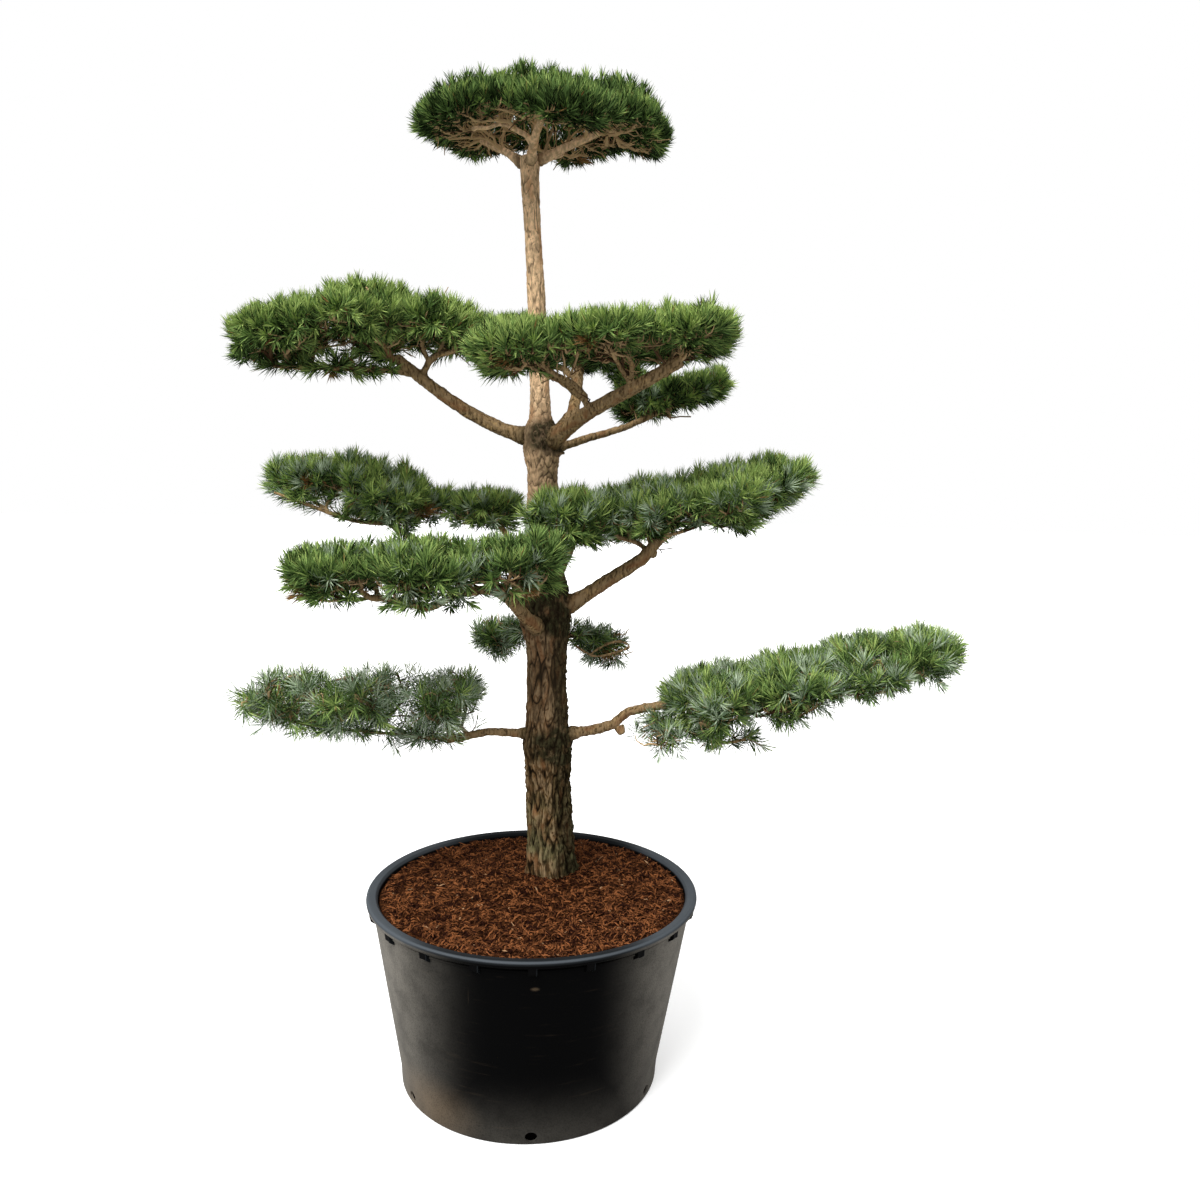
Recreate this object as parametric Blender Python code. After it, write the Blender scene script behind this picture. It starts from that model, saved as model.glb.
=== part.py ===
"""Scots pine trained as a cloud-pruned garden bonsai, standing in its round nursery container.

The origin is the centre of the container's flat underside, +Z is up and the front of the tree
looks along -Y. Every limb starts at the trunk or the crown fork and ends in a foliage mass.
"""

import math
from collections import namedtuple

import bmesh
import bpy
from mathutils import Matrix, Vector, noise

# Clearance between two pieces that touch on the real tree.
GAP = 0.0003

# The container: a tapered tub with a rolled lip and a short upright foot band.
POT_HEIGHT = 0.530
POT_RIM_RADIUS = 0.485
POT_SHOULDER_RADIUS = 0.467
POT_FOOT_BAND_RADIUS = 0.3765
POT_FOOT_RADIUS = 0.3725
POT_FOOT_BAND_HEIGHT = 0.050
POT_WALL = 0.006
POT_LIP_WIDTH = 0.033
POT_LIP_HEIGHT = 0.022
POT_SEGMENTS = 36

# Drain holes in the foot band.
DRAIN_HOLES = 6
DRAIN_FIRST_ANGLE = math.radians(2.0)
DRAIN_HEIGHT = 0.030
DRAIN_HALF_WIDTH = 0.0155
DRAIN_HALF_HEIGHT = 0.011
DRAIN_SEGMENTS = 8

# The soil: nearly level with the lip, drawn up a little round the trunk.
SOIL_EDGE_HEIGHT = 0.508
SOIL_TRUNK_HEIGHT = 0.540
SOIL_SEAT_RADIUS = 0.105
SOIL_MOUND_RADIUS = 0.36
# How far out from the trunk to the lip the rings of the surface lie.
SOIL_RING_SHARES = (0.98, 0.60, 0.24)

# The trunk: where its axis stands at the soil and where it forks, and its girth on the way up.
TRUNK_FOOT = Vector((0.050, 0.100, SOIL_TRUNK_HEIGHT))
TRUNK_SEGMENTS = 14
ROOT_FLARE = 0.012
ROOT_FLARE_HEIGHT = 0.10
ROOT_BUTTRESSES = 5

Station = namedtuple("Station", "x y z radius")
TRUNK_STATIONS = (
    Station(0.050, 0.100, 0.540, 0.074),
    Station(0.046, 0.096, 0.620, 0.070),
    Station(0.034, 0.090, 0.800, 0.068),
    Station(0.031, 0.086, 0.940, 0.074),
    Station(0.029, 0.084, 0.990, 0.066),
    Station(0.022, 0.080, 1.127, 0.060),
    Station(0.022, 0.076, 1.230, 0.062),
    Station(0.011, 0.072, 1.340, 0.086),
    Station(0.008, 0.070, 1.400, 0.080),
    Station(0.006, 0.068, 1.480, 0.060),
    Station(0.003, 0.064, 1.620, 0.050),
    Station(0.001, 0.060, 1.753, 0.046),
    Station(-0.005, 0.056, 1.830, 0.056),
    Station(-0.008, 0.054, 1.875, 0.056),
    Station(-0.009, 0.050, 1.925, 0.035),
    Station(-0.012, 0.046, 2.000, 0.030),
    Station(-0.028, 0.036, 2.295, 0.0275),
    Station(-0.041, 0.028, 2.470, 0.0250),
    Station(-0.053, 0.022, 2.640, 0.0280),
    Station(-0.055, 0.020, 2.705, 0.0310),
)

# Main limbs: the places that each passes, its radius at the trunk and at its tip.
Limb = namedtuple("Limb", "name radius tip_radius way")
THICK_LIMB_SEGMENTS = 8
THIN_LIMB_SEGMENTS = 6
THIN_LIMB_RADIUS = 0.019
STEPS_PER_SPAN = 2
LIMBS = (
    Limb(
        "limb_1_left",
        0.016,
        0.010,
        (
            (-0.060, 0.022, 2.670),
            (-0.125, 0.060, 2.730),
            (-0.215, 0.130, 2.790),
        ),
    ),
    Limb(
        "limb_1_right",
        0.017,
        0.010,
        (
            (-0.050, 0.020, 2.680),
            (0.040, 0.020, 2.730),
            (0.170, 0.020, 2.790),
        ),
    ),
    Limb(
        "limb_1_front",
        0.015,
        0.010,
        (
            (-0.055, 0.020, 2.665),
            (-0.030, -0.090, 2.735),
            (0.020, -0.200, 2.800),
        ),
    ),
    Limb(
        "limb_1_back",
        0.015,
        0.010,
        (
            (-0.055, 0.020, 2.670),
            (-0.020, 0.130, 2.735),
            (0.030, 0.250, 2.795),
        ),
    ),
    Limb(
        "limb_2_left",
        0.023,
        0.017,
        (
            (-0.008, 0.054, 1.855),
            (-0.125, 0.050, 1.889),
            (-0.238, 0.040, 1.945),
            (-0.335, 0.030, 2.010),
            (-0.445, 0.020, 2.095),
        ),
    ),
    Limb(
        "limb_2_front",
        0.026,
        0.018,
        (
            (0.000, 0.045, 1.830),
            (0.105, -0.030, 1.915),
            (0.175, -0.090, 1.955),
            (0.300, -0.150, 2.020),
            (0.395, -0.180, 2.075),
        ),
    ),
    Limb(
        "limb_2_back",
        0.022,
        0.016,
        (
            (0.000, 0.070, 1.850),
            (0.085, 0.160, 1.950),
            (0.100, 0.280, 2.120),
        ),
    ),
    Limb(
        "limb_2_low",
        0.015,
        0.009,
        (
            (0.000, 0.070, 1.820),
            (0.147, 0.140, 1.876),
            (0.253, 0.190, 1.912),
            (0.400, 0.240, 1.985),
        ),
    ),
    Limb(
        "limb_3_right",
        0.024,
        0.018,
        (
            (0.020, 0.070, 1.310),
            (0.110, 0.060, 1.370),
            (0.199, 0.045, 1.433),
            (0.305, 0.020, 1.505),
            (0.355, 0.010, 1.570),
        ),
    ),
    Limb(
        "limb_3_front",
        0.022,
        0.016,
        (
            (0.010, 0.060, 1.270),
            (-0.030, -0.060, 1.330),
            (-0.075, -0.140, 1.395),
            (-0.120, -0.190, 1.430),
        ),
    ),
    Limb(
        "limb_3_left",
        0.018,
        0.010,
        (
            (0.000, 0.080, 1.340),
            (-0.200, 0.160, 1.430),
            (-0.400, 0.230, 1.530),
            (-0.540, 0.260, 1.610),
        ),
    ),
    Limb(
        "limb_3_back",
        0.018,
        0.012,
        (
            (0.005, 0.080, 1.370),
            (0.060, 0.180, 1.460),
            (0.100, 0.240, 1.560),
        ),
    ),
    Limb(
        "limb_3_back_left",
        0.013,
        0.009,
        (
            (0.000, 0.080, 1.390),
            (-0.080, 0.200, 1.500),
            (-0.170, 0.290, 1.620),
        ),
    ),
    Limb(
        "twig_3_low_left",
        0.008,
        0.006,
        (
            (0.010, 0.075, 1.270),
            (-0.070, 0.170, 1.260),
            (-0.125, 0.230, 1.250),
        ),
    ),
    Limb(
        "twig_3_low_right",
        0.008,
        0.006,
        (
            (0.020, 0.075, 1.270),
            (0.100, 0.150, 1.250),
            (0.170, 0.200, 1.240),
        ),
    ),
    Limb(
        "limb_4_left",
        0.014,
        0.010,
        (
            (0.030, 0.086, 0.955),
            (-0.147, 0.050, 0.971),
            (-0.261, 0.020, 0.953),
            (-0.400, 0.005, 0.975),
            (-0.520, 0.000, 1.040),
        ),
    ),
    Limb(
        "limb_4_right",
        0.018,
        0.014,
        (
            (0.040, 0.086, 0.950),
            (0.150, 0.070, 0.975),
            (0.230, 0.055, 1.000),
            (0.275, 0.050, 1.040),
            (0.400, 0.010, 1.075),
        ),
    ),
)

# Foliage masses: centre, half-length along the bearing, half-width across it, height over the
# centre, depth under it, bearing from +X and the rise along that bearing, both in degrees.
Mass = namedtuple("Mass", "name x y z reach spread rise sink bearing tilt limbs")
MASS_SEGMENTS = 10
MASS_BANDS = 6
# Two masses are parted where their centres lie closer than their reaches divided by this.
NEAR_MASSES = 0.8
MASSES = (
    Mass("crown_top", -0.02, 0.02, 2.860, 0.25, 0.22, 0.092, 0.045, 0, 0, ()),
    Mass("pad_2_left_tip", -0.725, -0.02, 2.175, 0.205, 0.22, 0.100, 0.095, 180, -9, ()),
    Mass("pad_2_left_middle", -0.520, 0.00, 2.195, 0.19, 0.30, 0.135, 0.105, 180, 0, ("limb_2_left",)),
    Mass("pad_2_left_inner", -0.300, 0.02, 2.185, 0.185, 0.25, 0.090, 0.085, 0, -6, ()),
    Mass("pad_2_front_left", -0.030, -0.29, 2.090, 0.18, 0.19, 0.085, 0.090, 190, -4, ()),
    Mass("pad_2_front_middle", 0.190, -0.27, 2.115, 0.17, 0.25, 0.085, 0.075, 0, 4, ()),
    Mass("pad_2_front_right", 0.400, -0.17, 2.130, 0.18, 0.28, 0.105, 0.070, 0, 3, ("limb_2_front",)),
    Mass("pad_2_back_left", -0.140, 0.36, 2.200, 0.20, 0.20, 0.105, 0.080, 170, 0, ()),
    Mass("pad_2_back_right", 0.130, 0.35, 2.195, 0.21, 0.20, 0.110, 0.090, 10, 0, ("limb_2_back",)),
    Mass("pad_2_low", 0.400, 0.27, 2.025, 0.22, 0.17, 0.070, 0.065, 5, 14, ("limb_2_low",)),
    Mass("pad_3_left_tip", -0.750, 0.28, 1.740, 0.19, 0.17, 0.080, 0.070, 180, 0, ()),
    Mass("pad_3_left_inner", -0.530, 0.27, 1.690, 0.19, 0.19, 0.115, 0.095, 0, -12, ("limb_3_left",)),
    Mass("pad_3_back_left", -0.210, 0.32, 1.645, 0.15, 0.15, 0.070, 0.065, 150, 0, ("limb_3_back_left",)),
    Mass("pad_3_back", 0.110, 0.27, 1.640, 0.17, 0.15, 0.090, 0.085, 20, 0, ("limb_3_back",)),
    Mass("pad_3_centre", 0.100, -0.08, 1.640, 0.16, 0.13, 0.090, 0.115, 10, 0, ()),
    Mass("pad_3_right_inner", 0.330, 0.00, 1.665, 0.15, 0.24, 0.100, 0.120, 0, 5, ("limb_3_right",)),
    Mass("pad_3_right_middle", 0.550, 0.01, 1.700, 0.16, 0.28, 0.110, 0.125, 0, 5, ()),
    Mass("pad_3_right_tip", 0.700, 0.02, 1.750, 0.13, 0.22, 0.090, 0.095, 0, 5, ()),
    Mass("pad_3_front_tip", -0.535, -0.24, 1.475, 0.18, 0.21, 0.085, 0.085, 180, 0, ()),
    Mass("pad_3_front_middle", -0.290, -0.26, 1.485, 0.18, 0.24, 0.100, 0.105, 180, 0, ()),
    Mass("pad_3_front_inner", -0.050, -0.25, 1.510, 0.15, 0.18, 0.090, 0.095, 0, 6, ("limb_3_front",)),
    Mass("tuft_3_low_left", -0.150, 0.25, 1.240, 0.09, 0.10, 0.055, 0.065, 130, 0, ("twig_3_low_left",)),
    Mass("tuft_3_low_right", 0.195, 0.22, 1.230, 0.11, 0.09, 0.065, 0.080, 30, 0, ("twig_3_low_right",)),
    Mass("pad_4_left_tip", -0.735, 0.00, 1.075, 0.17, 0.19, 0.085, 0.080, 180, 0, ()),
    Mass("pad_4_left_middle", -0.510, 0.00, 1.080, 0.17, 0.24, 0.095, 0.075, 180, 0, ("limb_4_left",)),
    Mass("pad_4_left_inner", -0.275, 0.01, 1.085, 0.15, 0.19, 0.090, 0.080, 0, 0, ()),
    Mass("pad_4_right_foot", 0.375, -0.09, 1.005, 0.11, 0.11, 0.055, 0.060, 160, 0, ()),
    Mass("pad_4_right_inner", 0.520, -0.01, 1.085, 0.17, 0.22, 0.115, 0.105, 0, 8, ("limb_4_right",)),
    Mass("pad_4_right_middle", 0.740, 0.00, 1.140, 0.17, 0.26, 0.115, 0.115, 0, 8, ()),
    Mass("pad_4_right_outer", 0.960, 0.02, 1.190, 0.17, 0.24, 0.100, 0.090, 0, 8, ()),
    Mass("pad_4_right_tip", 1.140, 0.03, 1.235, 0.14, 0.18, 0.090, 0.085, 0, 4, ()),
)

# The ring of masses round the crown's edge: bearing, how much higher than the ring, limbs.
CROWN_CENTRE = Vector((-0.020, 0.020, 2.800))
CROWN_RING_HALF_WIDTH = 0.235
CROWN_RING_HALF_DEPTH = 0.195
CROWN_LOBES = (
    ("crown_right", 0, 0.000, ("limb_1_right",)),
    ("crown_back", 72, 0.050, ("limb_1_back",)),
    ("crown_back_left", 144, 0.030, ("limb_1_left",)),
    ("crown_front_left", 216, -0.015, ()),
    ("crown_front", 288, -0.025, ("limb_1_front",)),
)

# Masses through which the trunk runs.
ROUND_TRUNK = ("pad_3_centre",)

BARK_COLOUR = (0.20, 0.12, 0.07, 1.0)
NEEDLE_COLOUR = (0.05, 0.12, 0.03, 1.0)
SOIL_COLOUR = (0.09, 0.03, 0.015, 1.0)
POT_COLOUR = (0.015, 0.015, 0.017, 1.0)


def clear_scene():
    for old in list(bpy.data.objects):
        bpy.data.objects.remove(old, do_unlink=True)


def make_material(name, colour, roughness):
    material = bpy.data.materials.new(name)
    material.use_nodes = True
    surface = material.node_tree.nodes["Principled BSDF"]
    surface.inputs["Base Color"].default_value = colour
    surface.inputs["Roughness"].default_value = roughness
    surface.inputs["Metallic"].default_value = 0.0
    return material


def add_object(name, shape, material=None):
    """Turn a bmesh into a scene object and free the bmesh."""
    bmesh.ops.recalc_face_normals(shape, faces=shape.faces)
    mesh = bpy.data.meshes.new(name)
    shape.to_mesh(mesh)
    shape.free()
    placed = bpy.data.objects.new(name, mesh)
    bpy.context.scene.collection.objects.link(placed)
    if material:
        mesh.materials.append(material)
    return placed


def make_cutter(name, shape):
    """A hidden solid that other pieces are cut by."""
    cutter = add_object(name, shape)
    cutter.hide_render = True
    cutter.display_type = "WIRE"
    return cutter


def cut_by(piece, cutter):
    cut = piece.modifiers.new("cut by " + cutter.name, "BOOLEAN")
    cut.operation = "DIFFERENCE"
    cut.solver = "EXACT"
    cut.object = cutter


def skin_rings(rings):
    """A closed bmesh over rings of points; a ring of one point is a pole, an open end is capped.

    The faces are triangles, so that a piece and the fatter copy that cuts its neighbours bend alike.
    """
    shape = bmesh.new()
    loops = [[shape.verts.new(point) for point in ring] for ring in rings]
    for low, high in zip(loops, loops[1:]):
        count = max(len(low), len(high))
        for i in range(count):
            j = (i + 1) % count
            if len(low) > 1:
                shape.faces.new((low[i], low[j], high[j % len(high)]))
            if len(high) > 1:
                shape.faces.new((low[i % len(low)], high[j], high[i]))
    if len(loops[0]) > 1:
        shape.faces.new(tuple(reversed(loops[0])))
    if len(loops[-1]) > 1:
        shape.faces.new(tuple(loops[-1]))
    return shape


def circle_points(centre, radius, segments):
    turn = 2 * math.pi / segments
    return [
        centre + Vector((radius * math.cos(i * turn), radius * math.sin(i * turn), 0.0))
        for i in range(segments)
    ]


def turned_solid(profile, segments):
    """Turn a profile of (radius, height) points about the container's axis."""
    rings = []
    for radius, height in profile:
        centre = Vector((0.0, 0.0, height))
        rings.append(circle_points(centre, radius, segments) if radius else [centre])
    return skin_rings(rings)


def wall_radius(height):
    """Outer radius of the container's wall."""
    if height <= POT_FOOT_BAND_HEIGHT:
        share = height / POT_FOOT_BAND_HEIGHT
        return POT_FOOT_RADIUS + share * (POT_FOOT_BAND_RADIUS - POT_FOOT_RADIUS)
    share = (height - POT_FOOT_BAND_HEIGHT) / (POT_HEIGHT - POT_FOOT_BAND_HEIGHT)
    return POT_FOOT_BAND_RADIUS + share * (POT_SHOULDER_RADIUS - POT_FOOT_BAND_RADIUS)


def make_pot(material):
    lip_underside = POT_HEIGHT - POT_LIP_HEIGHT
    lip_round = POT_LIP_HEIGHT / 3
    lip_inner = POT_RIM_RADIUS - POT_LIP_WIDTH
    profile = (
        (0.0, 0.0),
        (POT_FOOT_RADIUS, 0.0),
        (POT_FOOT_BAND_RADIUS, POT_FOOT_BAND_HEIGHT),
        (wall_radius(lip_underside), lip_underside),
        (POT_RIM_RADIUS - lip_round / 2, lip_underside),
        (POT_RIM_RADIUS, lip_underside + lip_round),
        (POT_RIM_RADIUS, POT_HEIGHT - lip_round),
        (POT_RIM_RADIUS - lip_round, POT_HEIGHT),
        (lip_inner + lip_round, POT_HEIGHT),
        (lip_inner, POT_HEIGHT - lip_round),
        (lip_inner, lip_underside),
        (wall_radius(POT_FOOT_BAND_HEIGHT) - POT_WALL, POT_FOOT_BAND_HEIGHT),
        (wall_radius(POT_WALL) - POT_WALL, POT_WALL),
        (0.0, POT_WALL),
    )
    pot = add_object("pot", turned_solid(profile, POT_SEGMENTS), material)
    cut_by(pot, make_drain_cutter())
    return pot


def make_drain_cutter():
    """One oval plug through the wall for each drain hole."""
    plugs = bmesh.new()
    inner = POT_FOOT_RADIUS - 2 * POT_WALL
    outer = POT_FOOT_RADIUS + 2 * POT_WALL
    for hole in range(DRAIN_HOLES):
        heading = DRAIN_FIRST_ANGLE - math.pi / 2 + hole * 2 * math.pi / DRAIN_HOLES
        outward = Vector((math.cos(heading), math.sin(heading), 0.0))
        sideways = Vector((-math.sin(heading), math.cos(heading), 0.0))
        rings = []
        for radius in (inner, outer):
            middle = outward * radius + Vector((0.0, 0.0, DRAIN_HEIGHT))
            ring = []
            for i in range(DRAIN_SEGMENTS):
                angle = 2 * math.pi * i / DRAIN_SEGMENTS
                across = sideways * (DRAIN_HALF_WIDTH * math.cos(angle))
                up = Vector((0.0, 0.0, DRAIN_HALF_HEIGHT * math.sin(angle)))
                ring.append(middle + across + up)
            rings.append(ring)
        plug = skin_rings(rings)
        mesh = bpy.data.meshes.new("drain plug")
        plug.to_mesh(mesh)
        plug.free()
        plugs.from_mesh(mesh)
        bpy.data.meshes.remove(mesh)
    return make_cutter("drain_cutter", plugs)


def soil_height(point):
    """Height of the soil: flat under the trunk, then sloping down to the lip."""
    distance = (point.xy - TRUNK_FOOT.xy).length
    share = (distance - SOIL_SEAT_RADIUS) / (SOIL_MOUND_RADIUS - SOIL_SEAT_RADIUS)
    share = min(max(share, 0.0), 1.0)
    ease = share * share * (3 - 2 * share)
    top = SOIL_TRUNK_HEIGHT - GAP
    return top + ease * (SOIL_EDGE_HEIGHT - top)


def make_soil(material):
    """The root ball and soil fill the container to just under its lip."""
    floor = POT_WALL + GAP
    lip_inner = POT_RIM_RADIUS - POT_LIP_WIDTH
    lip_underside = POT_HEIGHT - POT_LIP_HEIGHT
    span = (lip_inner - GAP) - (wall_radius(POT_FOOT_BAND_HEIGHT) - POT_WALL - GAP)
    wall_rings = (
        (0.0, floor),
        (wall_radius(floor) - POT_WALL - GAP, floor),
        (wall_radius(POT_FOOT_BAND_HEIGHT) - POT_WALL - GAP, POT_FOOT_BAND_HEIGHT),
        (lip_inner - GAP - span * 0.002, lip_underside - GAP),
    )
    rings = []
    for radius, height in wall_rings:
        centre = Vector((0.0, 0.0, height))
        rings.append(circle_points(centre, radius, POT_SEGMENTS) if radius else [centre])
    # The surface is drawn as rings that close in on the trunk's foot.
    surface_edge = circle_points(Vector(), lip_inner - 2 * GAP, POT_SEGMENTS)
    for share in SOIL_RING_SHARES:
        ring = []
        for edge in surface_edge:
            point = TRUNK_FOOT.xy.lerp(edge.xy, share).to_3d()
            point.z = soil_height(point)
            ring.append(point)
        rings.append(ring)
    rings.append([Vector((TRUNK_FOOT.x, TRUNK_FOOT.y, SOIL_TRUNK_HEIGHT - GAP))])
    return add_object("soil", skin_rings(rings), material)


def trunk_shape(extra=0.0):
    """The trunk as rings; extra makes the fatter copy that neighbours are cut by."""
    rings = []
    for station in TRUNK_STATIONS:
        centre = Vector((station.x, station.y, station.z))
        above = station.z - TRUNK_FOOT.z
        flare = ROOT_FLARE * max(0.0, 1 - above / ROOT_FLARE_HEIGHT)
        ring = []
        for i in range(TRUNK_SEGMENTS):
            angle = 2 * math.pi * i / TRUNK_SEGMENTS
            buttress = 0.5 + 0.5 * math.cos(ROOT_BUTTRESSES * angle + 1.0)
            uneven = noise.noise(Vector((math.cos(angle), math.sin(angle), station.z * 4)))
            radius = station.radius * (1 + 0.05 * uneven) + flare * buttress + extra
            ring.append(centre + Vector((radius * math.cos(angle), radius * math.sin(angle), 0)))
        rings.append(ring)
    return skin_rings(rings)


def smooth_way(way, steps):
    """Points on a smooth curve through the given places."""
    places = [Vector(place) for place in way]
    places = [2 * places[0] - places[1]] + places + [2 * places[-1] - places[-2]]
    points = []
    for a, b, c, d in zip(places, places[1:], places[2:], places[3:]):
        for step in range(steps):
            t = step / steps
            points.append(
                0.5
                * (
                    2 * b
                    + (c - a) * t
                    + (2 * a - 5 * b + 4 * c - d) * t * t
                    + (3 * b - 3 * c + d - a) * t * t * t
                )
            )
    points.append(places[-2])
    return points


def limb_shape(limb, extra=0.0):
    """One tapering limb; extra makes the fatter, longer copy that its mass is cut by."""
    points = smooth_way(limb.way, STEPS_PER_SPAN)
    if extra:
        points[-1] += (points[-1] - points[-2]).normalized() * extra
    segments = THIN_LIMB_SEGMENTS if limb.radius < THIN_LIMB_RADIUS else THICK_LIMB_SEGMENTS
    turn = 2 * math.pi / segments
    rings = []
    side = None
    for i, point in enumerate(points):
        ahead = points[min(i + 1, len(points) - 1)] - points[max(i - 1, 0)]
        ahead.normalize()
        if side is None:
            side = ahead.cross(Vector((0, 0, 1))).normalized()
        side = (side - ahead * side.dot(ahead)).normalized()
        up = ahead.cross(side)
        share = i / (len(points) - 1)
        radius = limb.radius + share * (limb.tip_radius - limb.radius) + extra
        rings.append(
            [
                point + side * (radius * math.cos(k * turn)) + up * (radius * math.sin(k * turn))
                for k in range(segments)
            ]
        )
    return skin_rings(rings)


def crown_lobes():
    """The masses round the crown's edge, evenly spaced about its centre."""
    for name, angle, lift, limbs in CROWN_LOBES:
        x = CROWN_CENTRE.x + CROWN_RING_HALF_WIDTH * math.cos(math.radians(angle))
        y = CROWN_CENTRE.y + CROWN_RING_HALF_DEPTH * math.sin(math.radians(angle))
        z = CROWN_CENTRE.z
        yield Mass(name, x, y, z + lift, 0.175, 0.20, 0.105, 0.075, angle, -12, limbs)


def mass_shape(mass, seed):
    """An uneven closed pad: domed on top, flatter underneath, with its own lumps."""
    shift = Vector((seed * 3.7, seed * -1.9, seed * 0.8))
    rings = []
    for band in range(MASS_BANDS + 1):
        polar = math.pi * band / MASS_BANDS
        ring = []
        for i in range(1 if band in (0, MASS_BANDS) else MASS_SEGMENTS):
            angle = 2 * math.pi * (i + 0.5 * (band % 2)) / MASS_SEGMENTS
            way = Vector(
                (
                    math.sin(polar) ** 0.8 * math.cos(angle),
                    math.sin(polar) ** 0.8 * math.sin(angle),
                    math.cos(polar),
                )
            )
            ring.append(way * (1 + 0.22 * noise.noise(way * 1.6 + shift)))
        rings.append(ring)
    points = [point for ring in rings for point in ring]
    low = Vector(min(point[axis] for point in points) for axis in range(3))
    high = Vector(max(point[axis] for point in points) for axis in range(3))
    place = Matrix.Translation((mass.x, mass.y, mass.z))
    place = place @ Matrix.Rotation(math.radians(mass.bearing), 4, "Z")
    climb = math.tan(math.radians(mass.tilt))
    for point in points:
        along = mass.reach * (point.x / (high.x if point.x > 0 else -low.x))
        across = mass.spread * (point.y / (high.y if point.y > 0 else -low.y))
        lift = mass.rise * point.z / high.z if point.z > 0 else mass.sink * point.z / -low.z
        point.xyz = place @ Vector((along, across, lift + along * climb))
    return skin_rings(list(reversed(rings)))


def keep_side(shape, point, outward):
    """Cut a solid by a plane, drop what lies beyond it and close the cut."""
    everything = list(shape.verts) + list(shape.edges) + list(shape.faces)
    cut = bmesh.ops.bisect_plane(
        shape, geom=everything, plane_co=point, plane_no=outward, clear_outer=True, dist=1e-6
    )
    edges = [item for item in cut["geom_cut"] if isinstance(item, bmesh.types.BMEdge)]
    if edges:
        bmesh.ops.contextual_create(shape, geom=edges)
    bmesh.ops.triangulate(shape, faces=[face for face in shape.faces if len(face.verts) > 4])


def far_reach(mass, direction):
    """How far the mass reaches from its centre in a direction, taken as an ellipsoid."""
    bearing = math.radians(mass.bearing)
    along = direction.x * math.cos(bearing) + direction.y * math.sin(bearing)
    across = -direction.x * math.sin(bearing) + direction.y * math.cos(bearing)
    height = mass.rise if direction.z > 0 else mass.sink
    return 1 / math.sqrt(
        (along / mass.reach) ** 2 + (across / mass.spread) ** 2 + (direction.z / height) ** 2
    )


def part_masses(masses, shapes):
    """Where two masses meet, a flat cut between them leaves each its own side."""
    for i, first in enumerate(masses):
        for j in range(i + 1, len(masses)):
            second = masses[j]
            start = Vector((first.x, first.y, first.z))
            between = Vector((second.x, second.y, second.z)) - start
            distance = between.length
            direction = between / distance
            reach = far_reach(first, direction)
            other_reach = far_reach(second, -direction)
            if reach + other_reach < distance * NEAR_MASSES:
                continue
            meeting = start + direction * (distance * reach / (reach + other_reach))
            keep_side(shapes[i], meeting - direction * GAP / 2, direction)
            keep_side(shapes[j], meeting + direction * GAP / 2, -direction)


def make_trunk_and_limbs(material):
    add_object("trunk", trunk_shape(), material)
    trunk_cutter = make_cutter("trunk_cutter", trunk_shape(GAP))
    limb_cutters = {}
    for limb in LIMBS:
        made = add_object(limb.name, limb_shape(limb), material)
        cut_by(made, trunk_cutter)
        limb_cutters[limb.name] = make_cutter(limb.name + "_cutter", limb_shape(limb, GAP))
    return trunk_cutter, limb_cutters


def make_masses(material, trunk_cutter, limb_cutters):
    masses = list(MASSES) + list(crown_lobes())
    shapes = [mass_shape(mass, seed) for seed, mass in enumerate(masses, start=1)]
    part_masses(masses, shapes)
    for mass, shape in zip(masses, shapes):
        made = add_object(mass.name, shape, material)
        for name in mass.limbs:
            cut_by(made, limb_cutters[name])
        if mass.name in ROUND_TRUNK:
            cut_by(made, trunk_cutter)


def main():
    clear_scene()
    bpy.context.scene.unit_settings.scale_length = 1.0
    make_pot(make_material("container plastic", POT_COLOUR, 0.55))
    make_soil(make_material("bark soil", SOIL_COLOUR, 0.95))
    trunk_cutter, limb_cutters = make_trunk_and_limbs(make_material("bark", BARK_COLOUR, 0.9))
    make_masses(make_material("needles", NEEDLE_COLOUR, 0.7), trunk_cutter, limb_cutters)


main()
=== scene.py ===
"""Looks of a potted garden pine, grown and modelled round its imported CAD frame."""

import functools
import math
from collections import namedtuple

import bmesh
import bpy
import numpy as np
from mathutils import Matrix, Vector, kdtree, noise
from mathutils.bvhtree import BVHTree


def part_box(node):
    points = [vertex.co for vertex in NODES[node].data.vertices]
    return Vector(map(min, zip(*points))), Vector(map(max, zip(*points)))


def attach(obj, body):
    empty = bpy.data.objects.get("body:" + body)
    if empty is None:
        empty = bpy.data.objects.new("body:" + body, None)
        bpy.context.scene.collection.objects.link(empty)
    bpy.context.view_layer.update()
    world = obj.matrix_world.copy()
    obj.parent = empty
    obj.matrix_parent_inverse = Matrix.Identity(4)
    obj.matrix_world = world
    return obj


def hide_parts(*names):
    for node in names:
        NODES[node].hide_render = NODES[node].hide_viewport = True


bl_info = {
    "name": "Potted pine looks",
    "version": (1, 1, 0),
    "blender": (4, 5, 0),
    "location": "View3D > Sidebar > Pine",
    "description": "Grows the needles, twigs and bark of a potted pine round its CAD frame",
    "category": "Object",
}

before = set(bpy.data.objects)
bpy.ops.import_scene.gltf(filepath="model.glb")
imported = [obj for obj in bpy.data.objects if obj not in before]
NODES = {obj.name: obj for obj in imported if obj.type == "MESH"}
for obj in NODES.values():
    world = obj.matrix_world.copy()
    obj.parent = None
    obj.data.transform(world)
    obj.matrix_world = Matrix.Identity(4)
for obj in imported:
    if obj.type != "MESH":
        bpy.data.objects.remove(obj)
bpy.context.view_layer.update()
POT_LOW, POT_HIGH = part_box("pot")
SOIL_LOW, SOIL_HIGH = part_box("soil")
TRUNK_LOW, TRUNK_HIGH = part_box("trunk")
UP = np.array([0.0, 0.0, 1.0])

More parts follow.
